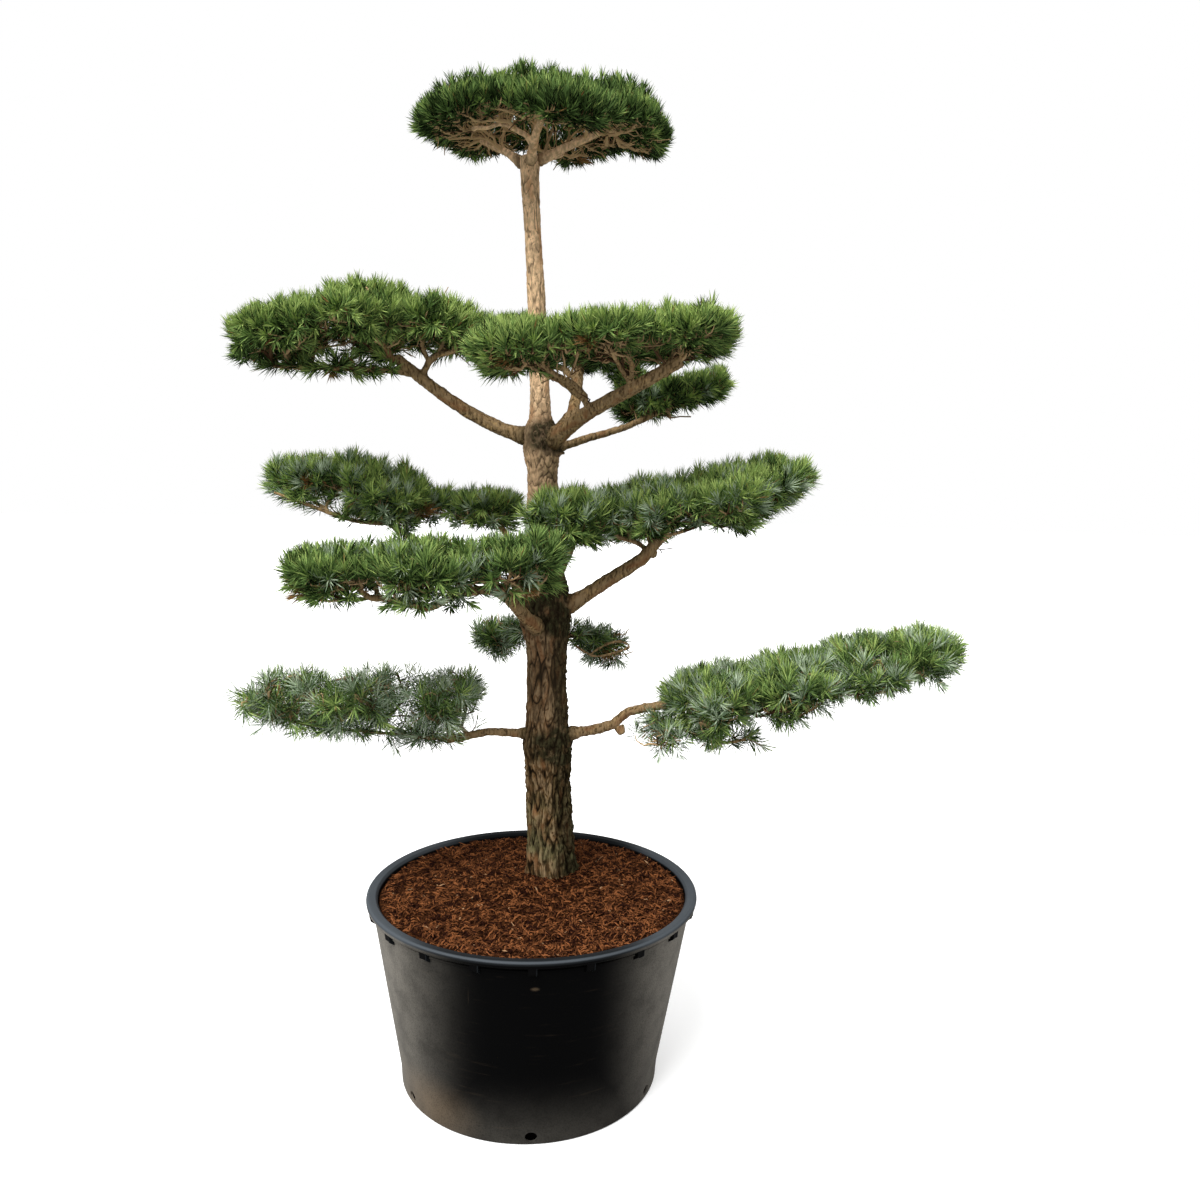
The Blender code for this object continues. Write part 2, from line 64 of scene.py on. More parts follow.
# How a pad grows, unless it says otherwise
PAD_USUAL = {
    "spacing": 0.0190,  # distance between shoots
    "upright": 0.65,  # how far shoots turn up from the way the skin faces
    "spread": 1.05,  # how far needles open from their shoot
    "clump": 0.12,  # size of the gaps between sprays
    "bare": 0.05,  # how much of the skin those gaps take
    "lowest": -0.80,  # how far down the skin may face and still bear shoots
    "droop": 0.02,  # how far down a shoot may point
    "sag": 0.020,  # how far the underside hangs below the masses
    "open_below": 1.25,  # how much farther apart shoots stand on the underside
    "hollow": 0.0,  # share of the reach within which the underside bears nothing
    "fill": 0.045,  # width of the notches between masses that are filled
    "smooth": 2,  # rounds of smoothing of the skin
    "ragged": 0.004,  # how unevenly far the shoots reach
    "inner": 0.35,  # share of shoots that stand deeper, in the shade
    "on_wood": 8,  # shoots right on the limbs and boughs
    "fresh": 0.55,  # shares of the kinds of shoots
    "old": 0.18,
    "blue": 0.0,
    "bearing": 0.45,  # share of each limb that bears boughs
    "direct": 0.50,  # how much boughs prefer to leave near the root
    "rise": 0.30,  # how high in a mass its main boughs run
    "spurs": 30,  # thin bare twigs
    "tan": 0.25,  # share of pale twigs
    "needles": 1.0,  # share of the usual number, length and width of needles
    "length": 1.0,
    "width": 1.0,
}
Pad = namedtuple("Pad", ("name", "limbs", "masses", *PAD_USUAL), defaults=tuple(PAD_USUAL.values()))
PADS = (
    Pad(
        name="crown",
        limbs=("limb_1_left", "limb_1_right", "limb_1_front", "limb_1_back"),
        masses=(
            "crown_top", "crown_right", "crown_back", "crown_back_left", "crown_front_left", "crown_front",
        ),
        spacing=0.0195, upright=0.78, spread=0.95, clump=0.10, bare=0.0, sag=0.0, hollow=0.74, fill=0.110,
        smooth=3, ragged=0.002, inner=0.15, on_wood=0, fresh=0.11, old=0.45, bearing=1.0, direct=1.3,
        rise=0.45, spurs=190, tan=0.85, length=0.92,
    ),
    Pad(
        name="second_left",
        limbs=("limb_2_left",),
        masses=("pad_2_left_tip", "pad_2_left_middle", "pad_2_left_inner"),
        spacing=0.0200, clump=0.10, bare=0.0, droop=-0.30, sag=0.030, open_below=1.2,
        fill=0.055, on_wood=90, fresh=0.92, old=0.10, bearing=0.18, direct=0.7, rise=0.10, spurs=150,
        tan=0.45,
    ),
    Pad(
        name="second_front",
        limbs=("limb_2_front",),
        masses=("pad_2_front_left", "pad_2_front_middle", "pad_2_front_right"),
        spacing=0.0200, clump=0.10, bare=0.0, sag=0.0, open_below=1.6, fresh=1.00, old=0.06,
        bearing=0.68, direct=1.4, rise=0.35, spurs=70, tan=0.50,
    ),
    Pad(
        name="second_back",
        limbs=("limb_2_back", "limb_2_low"),
        masses=("pad_2_back_left", "pad_2_back_right", "pad_2_low"),
        spacing=0.0200, sag=0.012, open_below=1.1, on_wood=24, fresh=0.50, old=0.22, blue=0.08, rise=0.12,
        tan=0.30, length=0.95,
    ),
    Pad(
        name="third_left",
        limbs=("limb_3_left", "limb_3_back_left"),
        masses=("pad_3_left_tip", "pad_3_left_inner", "pad_3_back_left"),
        spacing=0.0205, upright=0.60, spread=1.10, sag=0.022, open_below=1.3, ragged=0.007, inner=0.25,
        on_wood=50, fresh=1.00, old=0.0, blue=0.26, bearing=0.40, rise=0.15, tan=0.50, needles=1.10,
        length=1.05, width=0.85,
    ),
    Pad(
        name="third_right",
        limbs=("limb_3_right", "limb_3_back"),
        masses=("pad_3_centre", "pad_3_back", "pad_3_right_inner", "pad_3_right_middle", "pad_3_right_tip"),
        spacing=0.0200, upright=0.60, spread=1.15, sag=0.0, open_below=1.25, ragged=0.008, on_wood=20, fresh=0.92,
        old=0.08, blue=0.20, bearing=0.35, direct=0.9, rise=0.25, spurs=60, tan=0.30, needles=1.10,
        length=1.05, width=0.88,
    ),
    Pad(
        name="third_front",
        limbs=("limb_3_front",),
        masses=("pad_3_front_tip", "pad_3_front_middle", "pad_3_front_inner"),
        spacing=0.0200, upright=0.60, spread=1.15, droop=-0.15, sag=0.030, open_below=1.5, ragged=0.007,
        inner=0.30, on_wood=24, fresh=0.14, old=0.16, blue=0.16, bearing=0.50, rise=0.0, spurs=100,
        tan=0.50, length=1.08, width=0.92,
    ),
    Pad(
        name="third_low",
        limbs=("twig_3_low_left", "twig_3_low_right"),
        masses=("tuft_3_low_left", "tuft_3_low_right"),
        spacing=0.0270, upright=0.30, spread=1.30, clump=0.06, bare=0.20, lowest=-1.0, droop=-0.40,
        fill=0.0, ragged=0.012, inner=0.10, on_wood=60, fresh=0.0, old=0.30, blue=0.45, bearing=1.0,
        rise=0.40, spurs=24, tan=0.50, needles=0.90, length=1.15, width=0.70,
    ),
    Pad(
        name="fourth_left",
        limbs=("limb_4_left",),
        masses=("pad_4_left_tip", "pad_4_left_middle", "pad_4_left_inner"),
        spacing=0.0310, upright=0.25, spread=1.40, clump=0.060, bare=0.36, lowest=-1.0, droop=-0.50,
        fill=0.0, smooth=0, ragged=0.016, inner=0.10, on_wood=110, fresh=0.34, old=0.12, blue=0.50,
        bearing=0.70, direct=0.40, rise=0.10, spurs=14, tan=0.15, needles=0.95, length=1.28, width=0.56,
    ),
    Pad(
        name="fourth_foot",
        limbs=("limb_4_right",),
        masses=("pad_4_right_foot",),
        spacing=0.0420, upright=0.10, spread=1.35, clump=0.06, bare=0.60, lowest=-1.0, droop=-0.60,
        fill=0.0, smooth=0, inner=0.0, on_wood=10, fresh=0.20, old=0.10, blue=0.60, bearing=0.70,
        direct=0.80, rise=0.35, spurs=6, tan=0.60, needles=0.90, length=1.10, width=0.60,
    ),
    Pad(
        name="fourth_right",
        limbs=("limb_4_right",),
        masses=("pad_4_right_inner", "pad_4_right_middle", "pad_4_right_outer", "pad_4_right_tip"),
        spacing=0.0195, upright=0.50, spread=1.25, bare=0.0, lowest=-1.0, droop=-0.45, sag=0.010,
        open_below=2.4, fill=0.020, smooth=1, ragged=0.009, inner=0.05, on_wood=80, fresh=0.42, old=0.14,
        blue=0.35, direct=0.40, rise=0.35, spurs=40, tan=0.35, needles=1.00, length=1.12, width=0.76,
    ),
)
LIMBS = tuple(dict.fromkeys(limb for pad in PADS for limb in pad.limbs))

# Shoots: how far under the skin their feet stand, and how they gather in whorls
FOOT_DEPTH = (0.064, 0.106)
INNER_DEPTH = (0.035, 0.075)
LEAST_DEPTH = 0.024
UNDER_PAD = 0.050
OFF_LIMB = 0.055
OFF_BRANCH = 0.020
SHOOT_LENGTH = (0.036, 0.052)
OFF_UNDERSIDE = 0.010
BRANCH_SHARE = 3
SKIN_GRID = 0.014
IN_WHORL = 5
WHORL_REACH = 0.042
WHORL_DROP = 0.022

# Places beside the pads that stay open: middle and radius
GAPS = (
    ((0.262, 0.220, 1.255), 0.080),
    ((-0.510, 0.000, 1.020), 0.045),
    ((-0.330, -0.080, 1.120), 0.040),
    ((-0.760, -0.100, 1.150), 0.040),
    ((0.735, -0.200, 1.735), 0.045),
    ((0.570, -0.270, 1.650), 0.040),
    ((-0.420, -0.420, 1.480), 0.045),
)

# Places where a pad bulges above its masses: middle, radius and height
LIFTS = (((0.230, 0.000, 2.900), 0.180, 0.042),)

# Boughs that run on from the limbs in plain sight: pad, places, and radius at the root and the tip
BRANCHES = (
    (
        "second_left",
        (
            (-0.360, 0.040, 2.038), (-0.420, 0.035, 2.056), (-0.570, 0.015, 2.060), (-0.740, 0.000, 2.056),
            (-0.830, -0.010, 2.062), (-0.885, -0.010, 2.085),
        ),
        0.0120, 0.0045,
    ),
    (
        "third_left",
        (
            (-0.500, 0.245, 1.590), (-0.585, 0.200, 1.592), (-0.660, 0.180, 1.614), (-0.735, 0.165, 1.644),
            (-0.795, 0.155, 1.664), (-0.845, 0.150, 1.684),
        ),
        0.0085, 0.0045,
    ),
    (
        "third_right",
        (
            (0.325, 0.040, 1.530), (0.290, 0.020, 1.556), (0.245, 0.005, 1.566), (0.195, 0.000, 1.582),
            (0.150, 0.000, 1.610),
        ),
        0.0085, 0.0050,
    ),
    (
        "third_right",
        ((0.338, 0.040, 1.540), (0.322, 0.015, 1.572), (0.318, 0.010, 1.612)),
        0.0085, 0.0060,
    ),
    (
        "fourth_left",
        (
            (-0.262, -0.010, 0.964), (-0.360, -0.025, 0.968), (-0.450, -0.035, 0.984),
            (-0.600, -0.035, 0.992), (-0.720, -0.035, 1.010),
        ),
        0.0060, 0.0045,
    ),
    (
        "fourth_right",
        (
            (0.340, 0.000, 1.050), (0.430, -0.020, 1.006), (0.525, -0.030, 0.970), (0.575, -0.030, 0.972),
            (0.625, -0.030, 0.985),
        ),
        0.0050, 0.0045,
    ),
)

# Branching rule
STEP = 0.030
MOST_BEND = 0.018
TIP_RADIUS = 0.0023
THICKENING = 0.37
THICK_BOUGH = 0.0062
THIN_WOOD = 0.0065

GOLDEN_ANGLE = math.pi * (3 - math.sqrt(5))

# Plain needle colours, and the ones that each kind of spray has at its tip, middle and foot; the darker feet are
# painted shade deep in the pads
NEEDLE_KINDS = ("fresh", "light", "mid", "deep", "dark", "frost", "blue", "dry")
SPRAYS = {
    "fresh": (0, 1, 2),
    "green": (1, 2, 3),
    "old": (2, 3, 4),
    "blue": (5, 6, 3),
    "dead": (7, 7, 7),
}

# Middle and half height of the trunk's whorls, painted dark: partly moss, partly painted shade that is stronger
# on the right side
WHORLS = ((0.935, 0.060), (1.350, 0.090), (1.868, 0.062))

# Heights, and how young the bark is there; on the trunk the small share between 1.05 and 1.42 is painted light
# that lightens the bark in the pads' shade
TRUNK_YOUTH_AND_LIGHT = ((0.90, 1.05, 1.42, 2.05), (0.0, 0.10, 0.12, 1.0))
LIMB_YOUTH = ((2.35, 2.60), (0.0, 1.0))

# Middle, half size and strength of the moulding scar and of a scratch on the front of the container
POT_MARKS = (
    ((0.037, -0.455, 0.447), (0.015, 0.03, 0.007), 0.30),
    ((-0.134, -0.440, 0.410), (0.0018, 0.04, 0.034), 0.07),
)

# The limb that is slimmer beyond its knuckle, and how far along it that begins
SLIM_LIMB = "limb_4_left"
SLIM_FROM = 0.23

# Cut stubs and knuckles on the wood: foot, direction, length and radius
TRUNK_STUBS = (
    ((0.030, 0.050, 1.812), (1.0, -0.5, 0.35), 0.038, 0.011),
    ((0.085, 0.085, 0.727), (1.0, -0.2, 0.1), 0.022, 0.013),
    ((0.070, 0.050, 0.925), (1.0, -0.6, -0.2), 0.035, 0.014),
    ((-0.045, 0.060, 1.395), (-0.5, -0.8, 0.6), 0.030, 0.012),
)
LIMB_LOOP = (
    (0.107, 0.130, 1.226), (0.163, 0.105, 1.192), (0.216, 0.100, 1.204), (0.266, 0.105, 1.220),
    (0.282, 0.115, 1.229), (0.257, 0.125, 1.242), (0.216, 0.130, 1.237), (0.186, 0.130, 1.220),
    (0.158, 0.120, 1.201),
)
LOOP_RADIUS = 0.0042
LIMB_STUBS = (
    ((0.245, -0.010, 1.010), (0.5, -0.3, -1.0), 0.026, 0.014),
    ((0.130, 0.000, 0.985), (0.3, -0.3, 1.0), 0.022, 0.010),
    ((-0.250, -0.010, 0.962), (-0.3, -0.6, 0.5), 0.016, 0.013),
    ((0.330, 0.035, 1.530), (0.7, -0.5, -0.6), 0.024, 0.015),
)


# Sizes and colours that a user would change


class FoliageSettings(bpy.types.PropertyGroup):
    seed: bpy.props.IntProperty(name="Seed", description="Number that the branching starts from", default=7)
    needles: bpy.props.IntProperty(name="Needles", description="Needles on one shoot", default=42, min=8)
    needle_length: bpy.props.FloatProperty(
        name="Needle length", description="Longest needles", default=0.058, unit="LENGTH"
    )
    needle_width: bpy.props.FloatProperty(
        name="Needle width", description="Widest place of a needle", default=0.0044, unit="LENGTH"
    )
    fresh: bpy.props.FloatVectorProperty(
        name="Fresh", description="Needles at the lit tips", default=(0.400, 0.520, 0.155), subtype="COLOR"
    )
    light: bpy.props.FloatVectorProperty(
        name="Light", description="Upper needles", default=(0.245, 0.370, 0.107), subtype="COLOR"
    )
    mid: bpy.props.FloatVectorProperty(
        name="Mid", description="Most needles", default=(0.118, 0.200, 0.058), subtype="COLOR"
    )
    # Deep and dark needles fill the feet of the sprays: the deep ones partly the real older needles and partly
    # painted shade, the dark ones painted shade deep in the pads
    deep: bpy.props.FloatVectorProperty(
        name="Deep", description="Older needles", default=(0.045, 0.083, 0.022), subtype="COLOR"
    )
    dark: bpy.props.FloatVectorProperty(
        name="Dark", description="Needles deep in the pads", default=(0.012, 0.022, 0.006), subtype="COLOR"
    )
    frost: bpy.props.FloatVectorProperty(
        name="Frost", description="Pale tips of the blue-green sprays", default=(0.440, 0.530, 0.370),
        subtype="COLOR",
    )
    blue: bpy.props.FloatVectorProperty(
        name="Blue", description="Blue-green needles of the low pads", default=(0.210, 0.295, 0.180),
        subtype="COLOR",
    )
    dry: bpy.props.FloatVectorProperty(
        name="Dry", description="Dead needles", default=(0.26, 0.14, 0.05), subtype="COLOR"
    )


class WoodSettings(bpy.types.PropertyGroup):
    trunk_grid: bpy.props.FloatProperty(
        name="Trunk grid", description="Size of the trunk's faces", default=0.0034, unit="LENGTH"
    )
    limb_grid: bpy.props.FloatProperty(
        name="Limb grid", description="Size of the limbs' faces", default=0.0042, unit="LENGTH"
    )
    plate_width: bpy.props.FloatProperty(
        name="Plate width", description="Width of a bark plate", default=0.021, unit="LENGTH"
    )
    plate_length: bpy.props.FloatProperty(
        name="Plate length", description="Length of a bark plate", default=0.095, unit="LENGTH"
    )
    fissure: bpy.props.FloatProperty(
        name="Fissure", description="Depth between plates at the foot", default=0.0075, unit="LENGTH"
    )
    old_bark: bpy.props.FloatVectorProperty(
        name="Old bark", description="Plates of the lower trunk", default=(0.125, 0.070, 0.030),
        subtype="COLOR",
    )
    crest: bpy.props.FloatVectorProperty(
        name="Crest", description="Weathered top of the plates", default=(0.340, 0.235, 0.130),
        subtype="COLOR",
    )
    rust: bpy.props.FloatVectorProperty(
        name="Rust", description="Freshly flaked places", default=(0.28, 0.130, 0.055), subtype="COLOR"
    )
    limb_bark: bpy.props.FloatVectorProperty(
        name="Limb bark", description="Smooth bark of the lower limbs", default=(0.38, 0.25, 0.115),
        subtype="COLOR",
    )
    young_bark: bpy.props.FloatVectorProperty(
        name="Young bark", description="Flaky bark higher up", default=(0.84, 0.575, 0.34),
        subtype="COLOR",
    )
    # Near-black floor of the fissures: painted shade in the recesses between the plates
    crack_shade: bpy.props.FloatVectorProperty(
        name="Crack", description="Floor of the fissures", default=(0.010, 0.0065, 0.003),
        subtype="COLOR",
    )
    algae: bpy.props.FloatVectorProperty(
        name="Algae", description="Green film on the old bark", default=(0.085, 0.090, 0.042),
        subtype="COLOR",
    )
    twig: bpy.props.FloatVectorProperty(
        name="Twig", description="Bark of the twigs", default=(0.56, 0.38, 0.20), subtype="COLOR"
    )
    dark_twig: bpy.props.FloatVectorProperty(
        name="Dark twig", description="Twigs inside the pads", default=(0.100, 0.056, 0.028),
        subtype="COLOR",
    )


class PotSettings(bpy.types.PropertyGroup):
    wall: bpy.props.FloatProperty(
        name="Wall", description="Thickness of the wall", default=0.006, unit="LENGTH"
    )
    lip_width: bpy.props.FloatProperty(
        name="Lip width", description="Width of the rolled lip", default=0.033, unit="LENGTH"
    )
    lip_height: bpy.props.FloatProperty(
        name="Lip height", description="Height of the rolled lip", default=0.022, unit="LENGTH"
    )
    shoulder: bpy.props.FloatProperty(
        name="Shoulder", description="Radius of the wall under the lip", default=0.467, unit="LENGTH"
    )
    band: bpy.props.FloatProperty(
        name="Foot band", description="Radius of the wall above the foot", default=0.3765, unit="LENGTH"
    )
    foot: bpy.props.FloatProperty(
        name="Foot", description="Radius of the foot", default=0.3725, unit="LENGTH"
    )
    tabs: bpy.props.IntProperty(name="Tabs", description="Thin tabs under the lip", default=20)
    first_tab: bpy.props.FloatProperty(
        name="First tab", description="Turn of the first tab from the front", default=math.radians(5),
        unit="ROTATION",
    )
    holes: bpy.props.IntProperty(name="Holes", description="Drain holes above the foot", default=6)
    first_hole: bpy.props.FloatProperty(
        name="First hole", description="Turn of the first hole from the front", default=math.radians(4.5),
        unit="ROTATION",
    )
    plastic: bpy.props.FloatVectorProperty(
        name="Plastic", description="Black plastic", default=(0.0017, 0.0017, 0.0018), subtype="COLOR"
    )
    lip: bpy.props.FloatVectorProperty(
        name="Lip", description="Greyed plastic of the lip", default=(0.0105, 0.0120, 0.0135), subtype="COLOR"
    )
    dust: bpy.props.FloatVectorProperty(
        name="Dust", description="Dried splashes on the plastic", default=(0.283, 0.262, 0.225),
        subtype="COLOR",
    )
    mud: bpy.props.FloatVectorProperty(
        name="Mud", description="Brown splashes at the foot", default=(0.260, 0.185, 0.115), subtype="COLOR"
    )
    # Dust on the sides, with a painted sheen of grazing reflection; more on the left, where the light comes from
    left_dust_and_sheen: bpy.props.FloatProperty(name="Left dust", description="Dust on the left flank", default=1.05)
    right_dust_and_sheen: bpy.props.FloatProperty(name="Right dust", description="Dust on the right flank", default=1.00)
    foot_dust: bpy.props.FloatProperty(name="Foot dust", description="Dust above the foot", default=0.19)


class SoilSettings(bpy.types.PropertyGroup):
    chips: bpy.props.IntProperty(name="Chips", description="Shreds of bark on the soil", default=13000)
    light: bpy.props.FloatVectorProperty(
        name="Light fibre", description="Lit shreds", default=(0.215, 0.077, 0.027), subtype="COLOR"
    )
    dark: bpy.props.FloatVectorProperty(
        name="Dark fibre", description="Damp shreds", default=(0.016, 0.0045, 0.0024), subtype="COLOR"
    )
    straw: bpy.props.FloatVectorProperty(
        name="Straw", description="The few pale bits", default=(0.36, 0.21, 0.11), subtype="COLOR"
    )


class StageSettings(bpy.types.PropertyGroup):
    lens: bpy.props.FloatProperty(name="Lens", description="Focal length in mm", default=29.4)
    eye: bpy.props.FloatVectorProperty(
        name="Eye", description="Place of the camera", default=(0.176, -2.921, 1.695), unit="LENGTH"
    )
    roll: bpy.props.FloatProperty(
        name="Roll", description="Tilt of the camera about its view", default=math.radians(1.13),
        unit="ROTATION",
    )
    shift: bpy.props.FloatProperty(name="Shift", description="Frame below the level view", default=-0.0875)
    floor: bpy.props.FloatVectorProperty(
        name="Floor", description="Colour of the floor", default=(0.90, 0.90, 0.90), subtype="COLOR"
    )
    sky: bpy.props.FloatProperty(name="Sky", description="Strength of the even light", default=0.68)
    sun: bpy.props.FloatProperty(name="Sun", description="Strength of the soft sun", default=3.7)
    sun_width: bpy.props.FloatProperty(
        name="Sun width", description="Angle that the soft sun fills", default=math.radians(40),
        unit="ROTATION",
    )
    sun_from: bpy.props.FloatVectorProperty(
        name="Sun from", description="Direction towards the soft sun", default=(-0.55, -0.70, 1.0),
        subtype="DIRECTION",
    )


# Making meshes


def deselect():
    bpy.ops.object.select_all(action="DESELECT")


def new_object(name, mesh):
    piece = bpy.data.objects.new(name, mesh)
    bpy.context.scene.collection.objects.link(piece)
    return piece


def array_mesh(name, points, faces, materials=(), dealt=None, smooth=False):
    """A mesh from an array of points and one of faces that all have the same number of corners."""
    mesh = bpy.data.meshes.new(name)
    corners = faces.shape[1]
    mesh.vertices.add(len(points))
    mesh.vertices.foreach_set("co", points.astype(np.float32).ravel())
    mesh.loops.add(faces.size)
    mesh.loops.foreach_set("vertex_index", faces.astype(np.int32).ravel())
    mesh.polygons.add(len(faces))
    mesh.polygons.foreach_set("loop_start", np.arange(0, faces.size, corners, dtype=np.int32))
    for material in materials:
        mesh.materials.append(material)
    if dealt is not None:
        mesh.polygons.foreach_set("material_index", dealt.astype(np.int32))
    mesh.polygons.foreach_set("use_smooth", np.full(len(faces), smooth))
    mesh.update(calc_edges=True)
    mesh.validate()
    return mesh


def unit(vectors):
    length = np.linalg.norm(vectors, axis=-1, keepdims=True)
    return vectors / np.maximum(length, 1e-9)


def side_axes(directions):
    """Two axes across each direction."""
    helper = np.where(np.abs(directions[:, 2:3]) < 0.9, [[0.0, 0.0, 1.0]], [[1.0, 0.0, 0.0]])
    first = unit(np.cross(directions, helper))
    return first, np.cross(directions, first)


def node_points(name):
    mesh = NODES[name].data
    points = np.empty(len(mesh.vertices) * 3, np.float32)
    mesh.vertices.foreach_get("co", points)
    return points.reshape(-1, 3).astype(float)


def node_triangles(name):
    """Corners of a CAD node's triangles."""
    points = node_points(name)
    faces = np.array([tuple(face.vertices) for face in NODES[name].data.polygons])
    return points[faces]


def node_tree(name):
    """A search tree over the faces of a CAD node."""
    mesh = NODES[name].data
    points = [v.co.copy() for v in mesh.vertices]
    faces = [tuple(p.vertices) for p in mesh.polygons]
    return BVHTree.FromPolygons(points, faces)


def inside(tree, point):
    place, normal, _, _ = tree.find_nearest(point)
    return place is not None and (point - place).dot(normal) < 0


# Materials


def plain_material(name, colour, roughness, gloss=0.04):
    material = bpy.data.materials.new(name)
    material.use_nodes = True
    shader = material.node_tree.nodes["Principled BSDF"]
    shader.inputs["Base Color"].default_value = (*colour, 1.0)
    shader.inputs["Roughness"].default_value = roughness
    shader.inputs["Specular IOR Level"].default_value = gloss
    return material


class Nodes:
    """Adds linked nodes to a material or group, one line each."""

    def __init__(self, tree):
        self.tree = tree

    def add(self, kind, inputs=None, **settings):
        node = self.tree.nodes.new(kind)
        for key, value in settings.items():
            setattr(node, key, value)
        for key, value in (inputs or {}).items():
            socket = node.inputs[key]
            if isinstance(value, bpy.types.NodeSocket):
                self.tree.links.new(value, socket)
            else:
                socket.default_value = value
        return node

    def link(self, value, socket):
        self.tree.links.new(value, socket)

    def spread(self, value, low, high, to_low=0.0, to_high=1.0):
        """The value, stretched from one range to another and kept in it."""
        values = {"Value": value, "From Min": low, "From Max": high, "To Min": to_low, "To Max": to_high}
        return self.add("ShaderNodeMapRange", values, interpolation_type="SMOOTHSTEP").outputs[0]

    def times(self, first, second):
        return self.add("ShaderNodeMath", {0: first, 1: second}, operation="MULTIPLY").outputs[0]

    def most(self, first, second):
        return self.add("ShaderNodeMath", {0: first, 1: second}, operation="MAXIMUM").outputs[0]

    def mix(self, share, first, second):
        node = self.add("ShaderNodeMix", data_type="RGBA")
        for socket, value in ((node.inputs[0], share), (node.inputs[6], first), (node.inputs[7], second)):
            if isinstance(value, bpy.types.NodeSocket):
                self.tree.links.new(value, socket)
            else:
                socket.default_value = value
        return node.outputs[2]

    def stretched(self, place, scale):
        return self.add("ShaderNodeMapping", {"Vector": place, "Scale": scale}).outputs[0]


@functools.cache
def patches_group():
    """Shared by bark, plastic and soil: soft uneven patches between two levels of a noise."""
    group = bpy.data.node_groups.new("uneven patches", "ShaderNodeTree")
    for name, kind in (
        ("Place", "NodeSocketVector"),
        ("Scale", "NodeSocketFloat"),
        ("Low", "NodeSocketFloat"),
        ("High", "NodeSocketFloat"),
    ):
        group.interface.new_socket(name, in_out="INPUT", socket_type=kind)
    group.interface.new_socket("Mask", in_out="OUTPUT", socket_type="NodeSocketFloat")
    nodes = Nodes(group)
    start = nodes.add("NodeGroupInput")
    end = nodes.add("NodeGroupOutput")
    values = {
        "Vector": start.outputs["Place"], "Scale": start.outputs["Scale"], "Detail": 4.0, "Roughness": 0.58,
    }
    cloud = nodes.add("ShaderNodeTexNoise", values).outputs["Fac"]
    mask = nodes.spread(cloud, start.outputs["Low"], start.outputs["High"])
    nodes.link(mask, end.inputs["Mask"])
    return group


def patches(nodes, place, scale, low, high):
    node = nodes.add("ShaderNodeGroup")
    node.node_tree = patches_group()
    nodes.link(place, node.inputs["Place"])
    node.inputs["Scale"].default_value = scale
    node.inputs["Low"].default_value = low
    node.inputs["High"].default_value = high
    return node.outputs["Mask"]


def start_material(name):
    material = bpy.data.materials.new(name)
    material.use_nodes = True
    tree = material.node_tree
    return material, Nodes(tree), tree.nodes["Principled BSDF"]


def colour4(colour, times=1.0):
    return (*(min(c * times, 1.0) for c in colour), 1.0)


def spot(nodes, place, middle, size, core=0.6):
    """1 in the core of an oval round a place, and 0 outside the oval."""
    turned_in = nodes.add(
        "ShaderNodeMapping",
        {"Vector": place, "Location": [-m / s for m, s in zip(middle, size)], "Scale": [1 / s for s in size]},
    ).outputs[0]
    away = nodes.add("ShaderNodeVectorMath", {0: turned_in}, operation="LENGTH").outputs["Value"]
    return nodes.spread(away, 1.0, core)


def bark_material(name, old_bark):
    """Plates low down, tan flakes higher up and a green film; fissure floors painted near-black as painted shade,
    mossy whorls that are partly painted shade, and painted shade on the trunk's right side and at the roots of
    the limbs.
    """
    wood = bpy.context.scene.pine_wood
    material, nodes, shader = start_material(name)
    place = nodes.add("ShaderNodeTexCoord").outputs["Object"]
    height = nodes.add("ShaderNodeSeparateXYZ", {0: place}).outputs["Z"]
    plate, youth, knot_and_shade, tone = (
        nodes.add("ShaderNodeAttribute", attribute_name=name).outputs["Fac"]
        for name in ("plate", "youth", "knot_and_shade", "tone")
    )
    grain = patches(nodes, nodes.stretched(place, (1.0, 1.0, 0.22)), 130.0, 0.34, 0.66)
    fine = patches(nodes, nodes.stretched(place, (1.0, 1.0, 0.45)), 95.0, 0.36, 0.64)
    old = nodes.mix(grain, colour4(old_bark, 0.25), colour4(old_bark, 1.50))
    crest = nodes.times(nodes.spread(plate, 0.55, 1.0), nodes.spread(grain, -0.3, 1.0))
    old = nodes.mix(nodes.times(crest, 0.85), old, colour4(wood.crest))
    old = nodes.mix(nodes.times(nodes.spread(tone, 0.55, 0.85), 0.65), old, colour4(wood.rust))
    young = nodes.mix(fine, colour4(wood.young_bark, 0.62), colour4(wood.young_bark, 1.15))
    young = nodes.mix(nodes.times(nodes.spread(tone, 0.55, 0.95), 0.5), young, colour4(wood.rust, 1.8))
    colour = nodes.mix(youth, old, young)
    film = nodes.times(patches(nodes, place, 9.0, 0.36, 0.56), nodes.spread(height, 0.95, 0.62))
    algae = nodes.mix(grain, colour4(wood.algae, 0.4), colour4(wood.algae, 1.6))
    colour = nodes.mix(nodes.times(film, 0.70), colour, algae)
    # Darkened with moss and with painted shade: the whorls, the right side of the trunk and the roots of the
    # limbs
    moss_and_shade_mask = nodes.times(nodes.spread(patches(nodes, place, 26.0, 0.30, 0.60), -0.6, 0.6), knot_and_shade)
    moss_and_shade_colour = nodes.mix(grain, colour4(wood.crack_shade), colour4(wood.algae, 0.45))
    colour = nodes.mix(nodes.times(moss_and_shade_mask, 0.93), colour, moss_and_shade_colour)
    # Fissure floors are painted near-black: painted shade in the recesses
    floor = nodes.mix(youth, colour4(wood.crack_shade), colour4(wood.young_bark, 0.30))
    colour = nodes.mix(nodes.spread(plate, 0.08, 0.58), floor, colour)
    nodes.link(colour, shader.inputs["Base Color"])
    shader.inputs["Roughness"].default_value = 0.85
    shader.inputs["Specular IOR Level"].default_value = 0.02
    bump = nodes.add("ShaderNodeBump", {"Height": grain, "Strength": 0.5, "Distance": 0.003})
    nodes.link(bump.outputs[0], shader.inputs["Normal"])
    return material


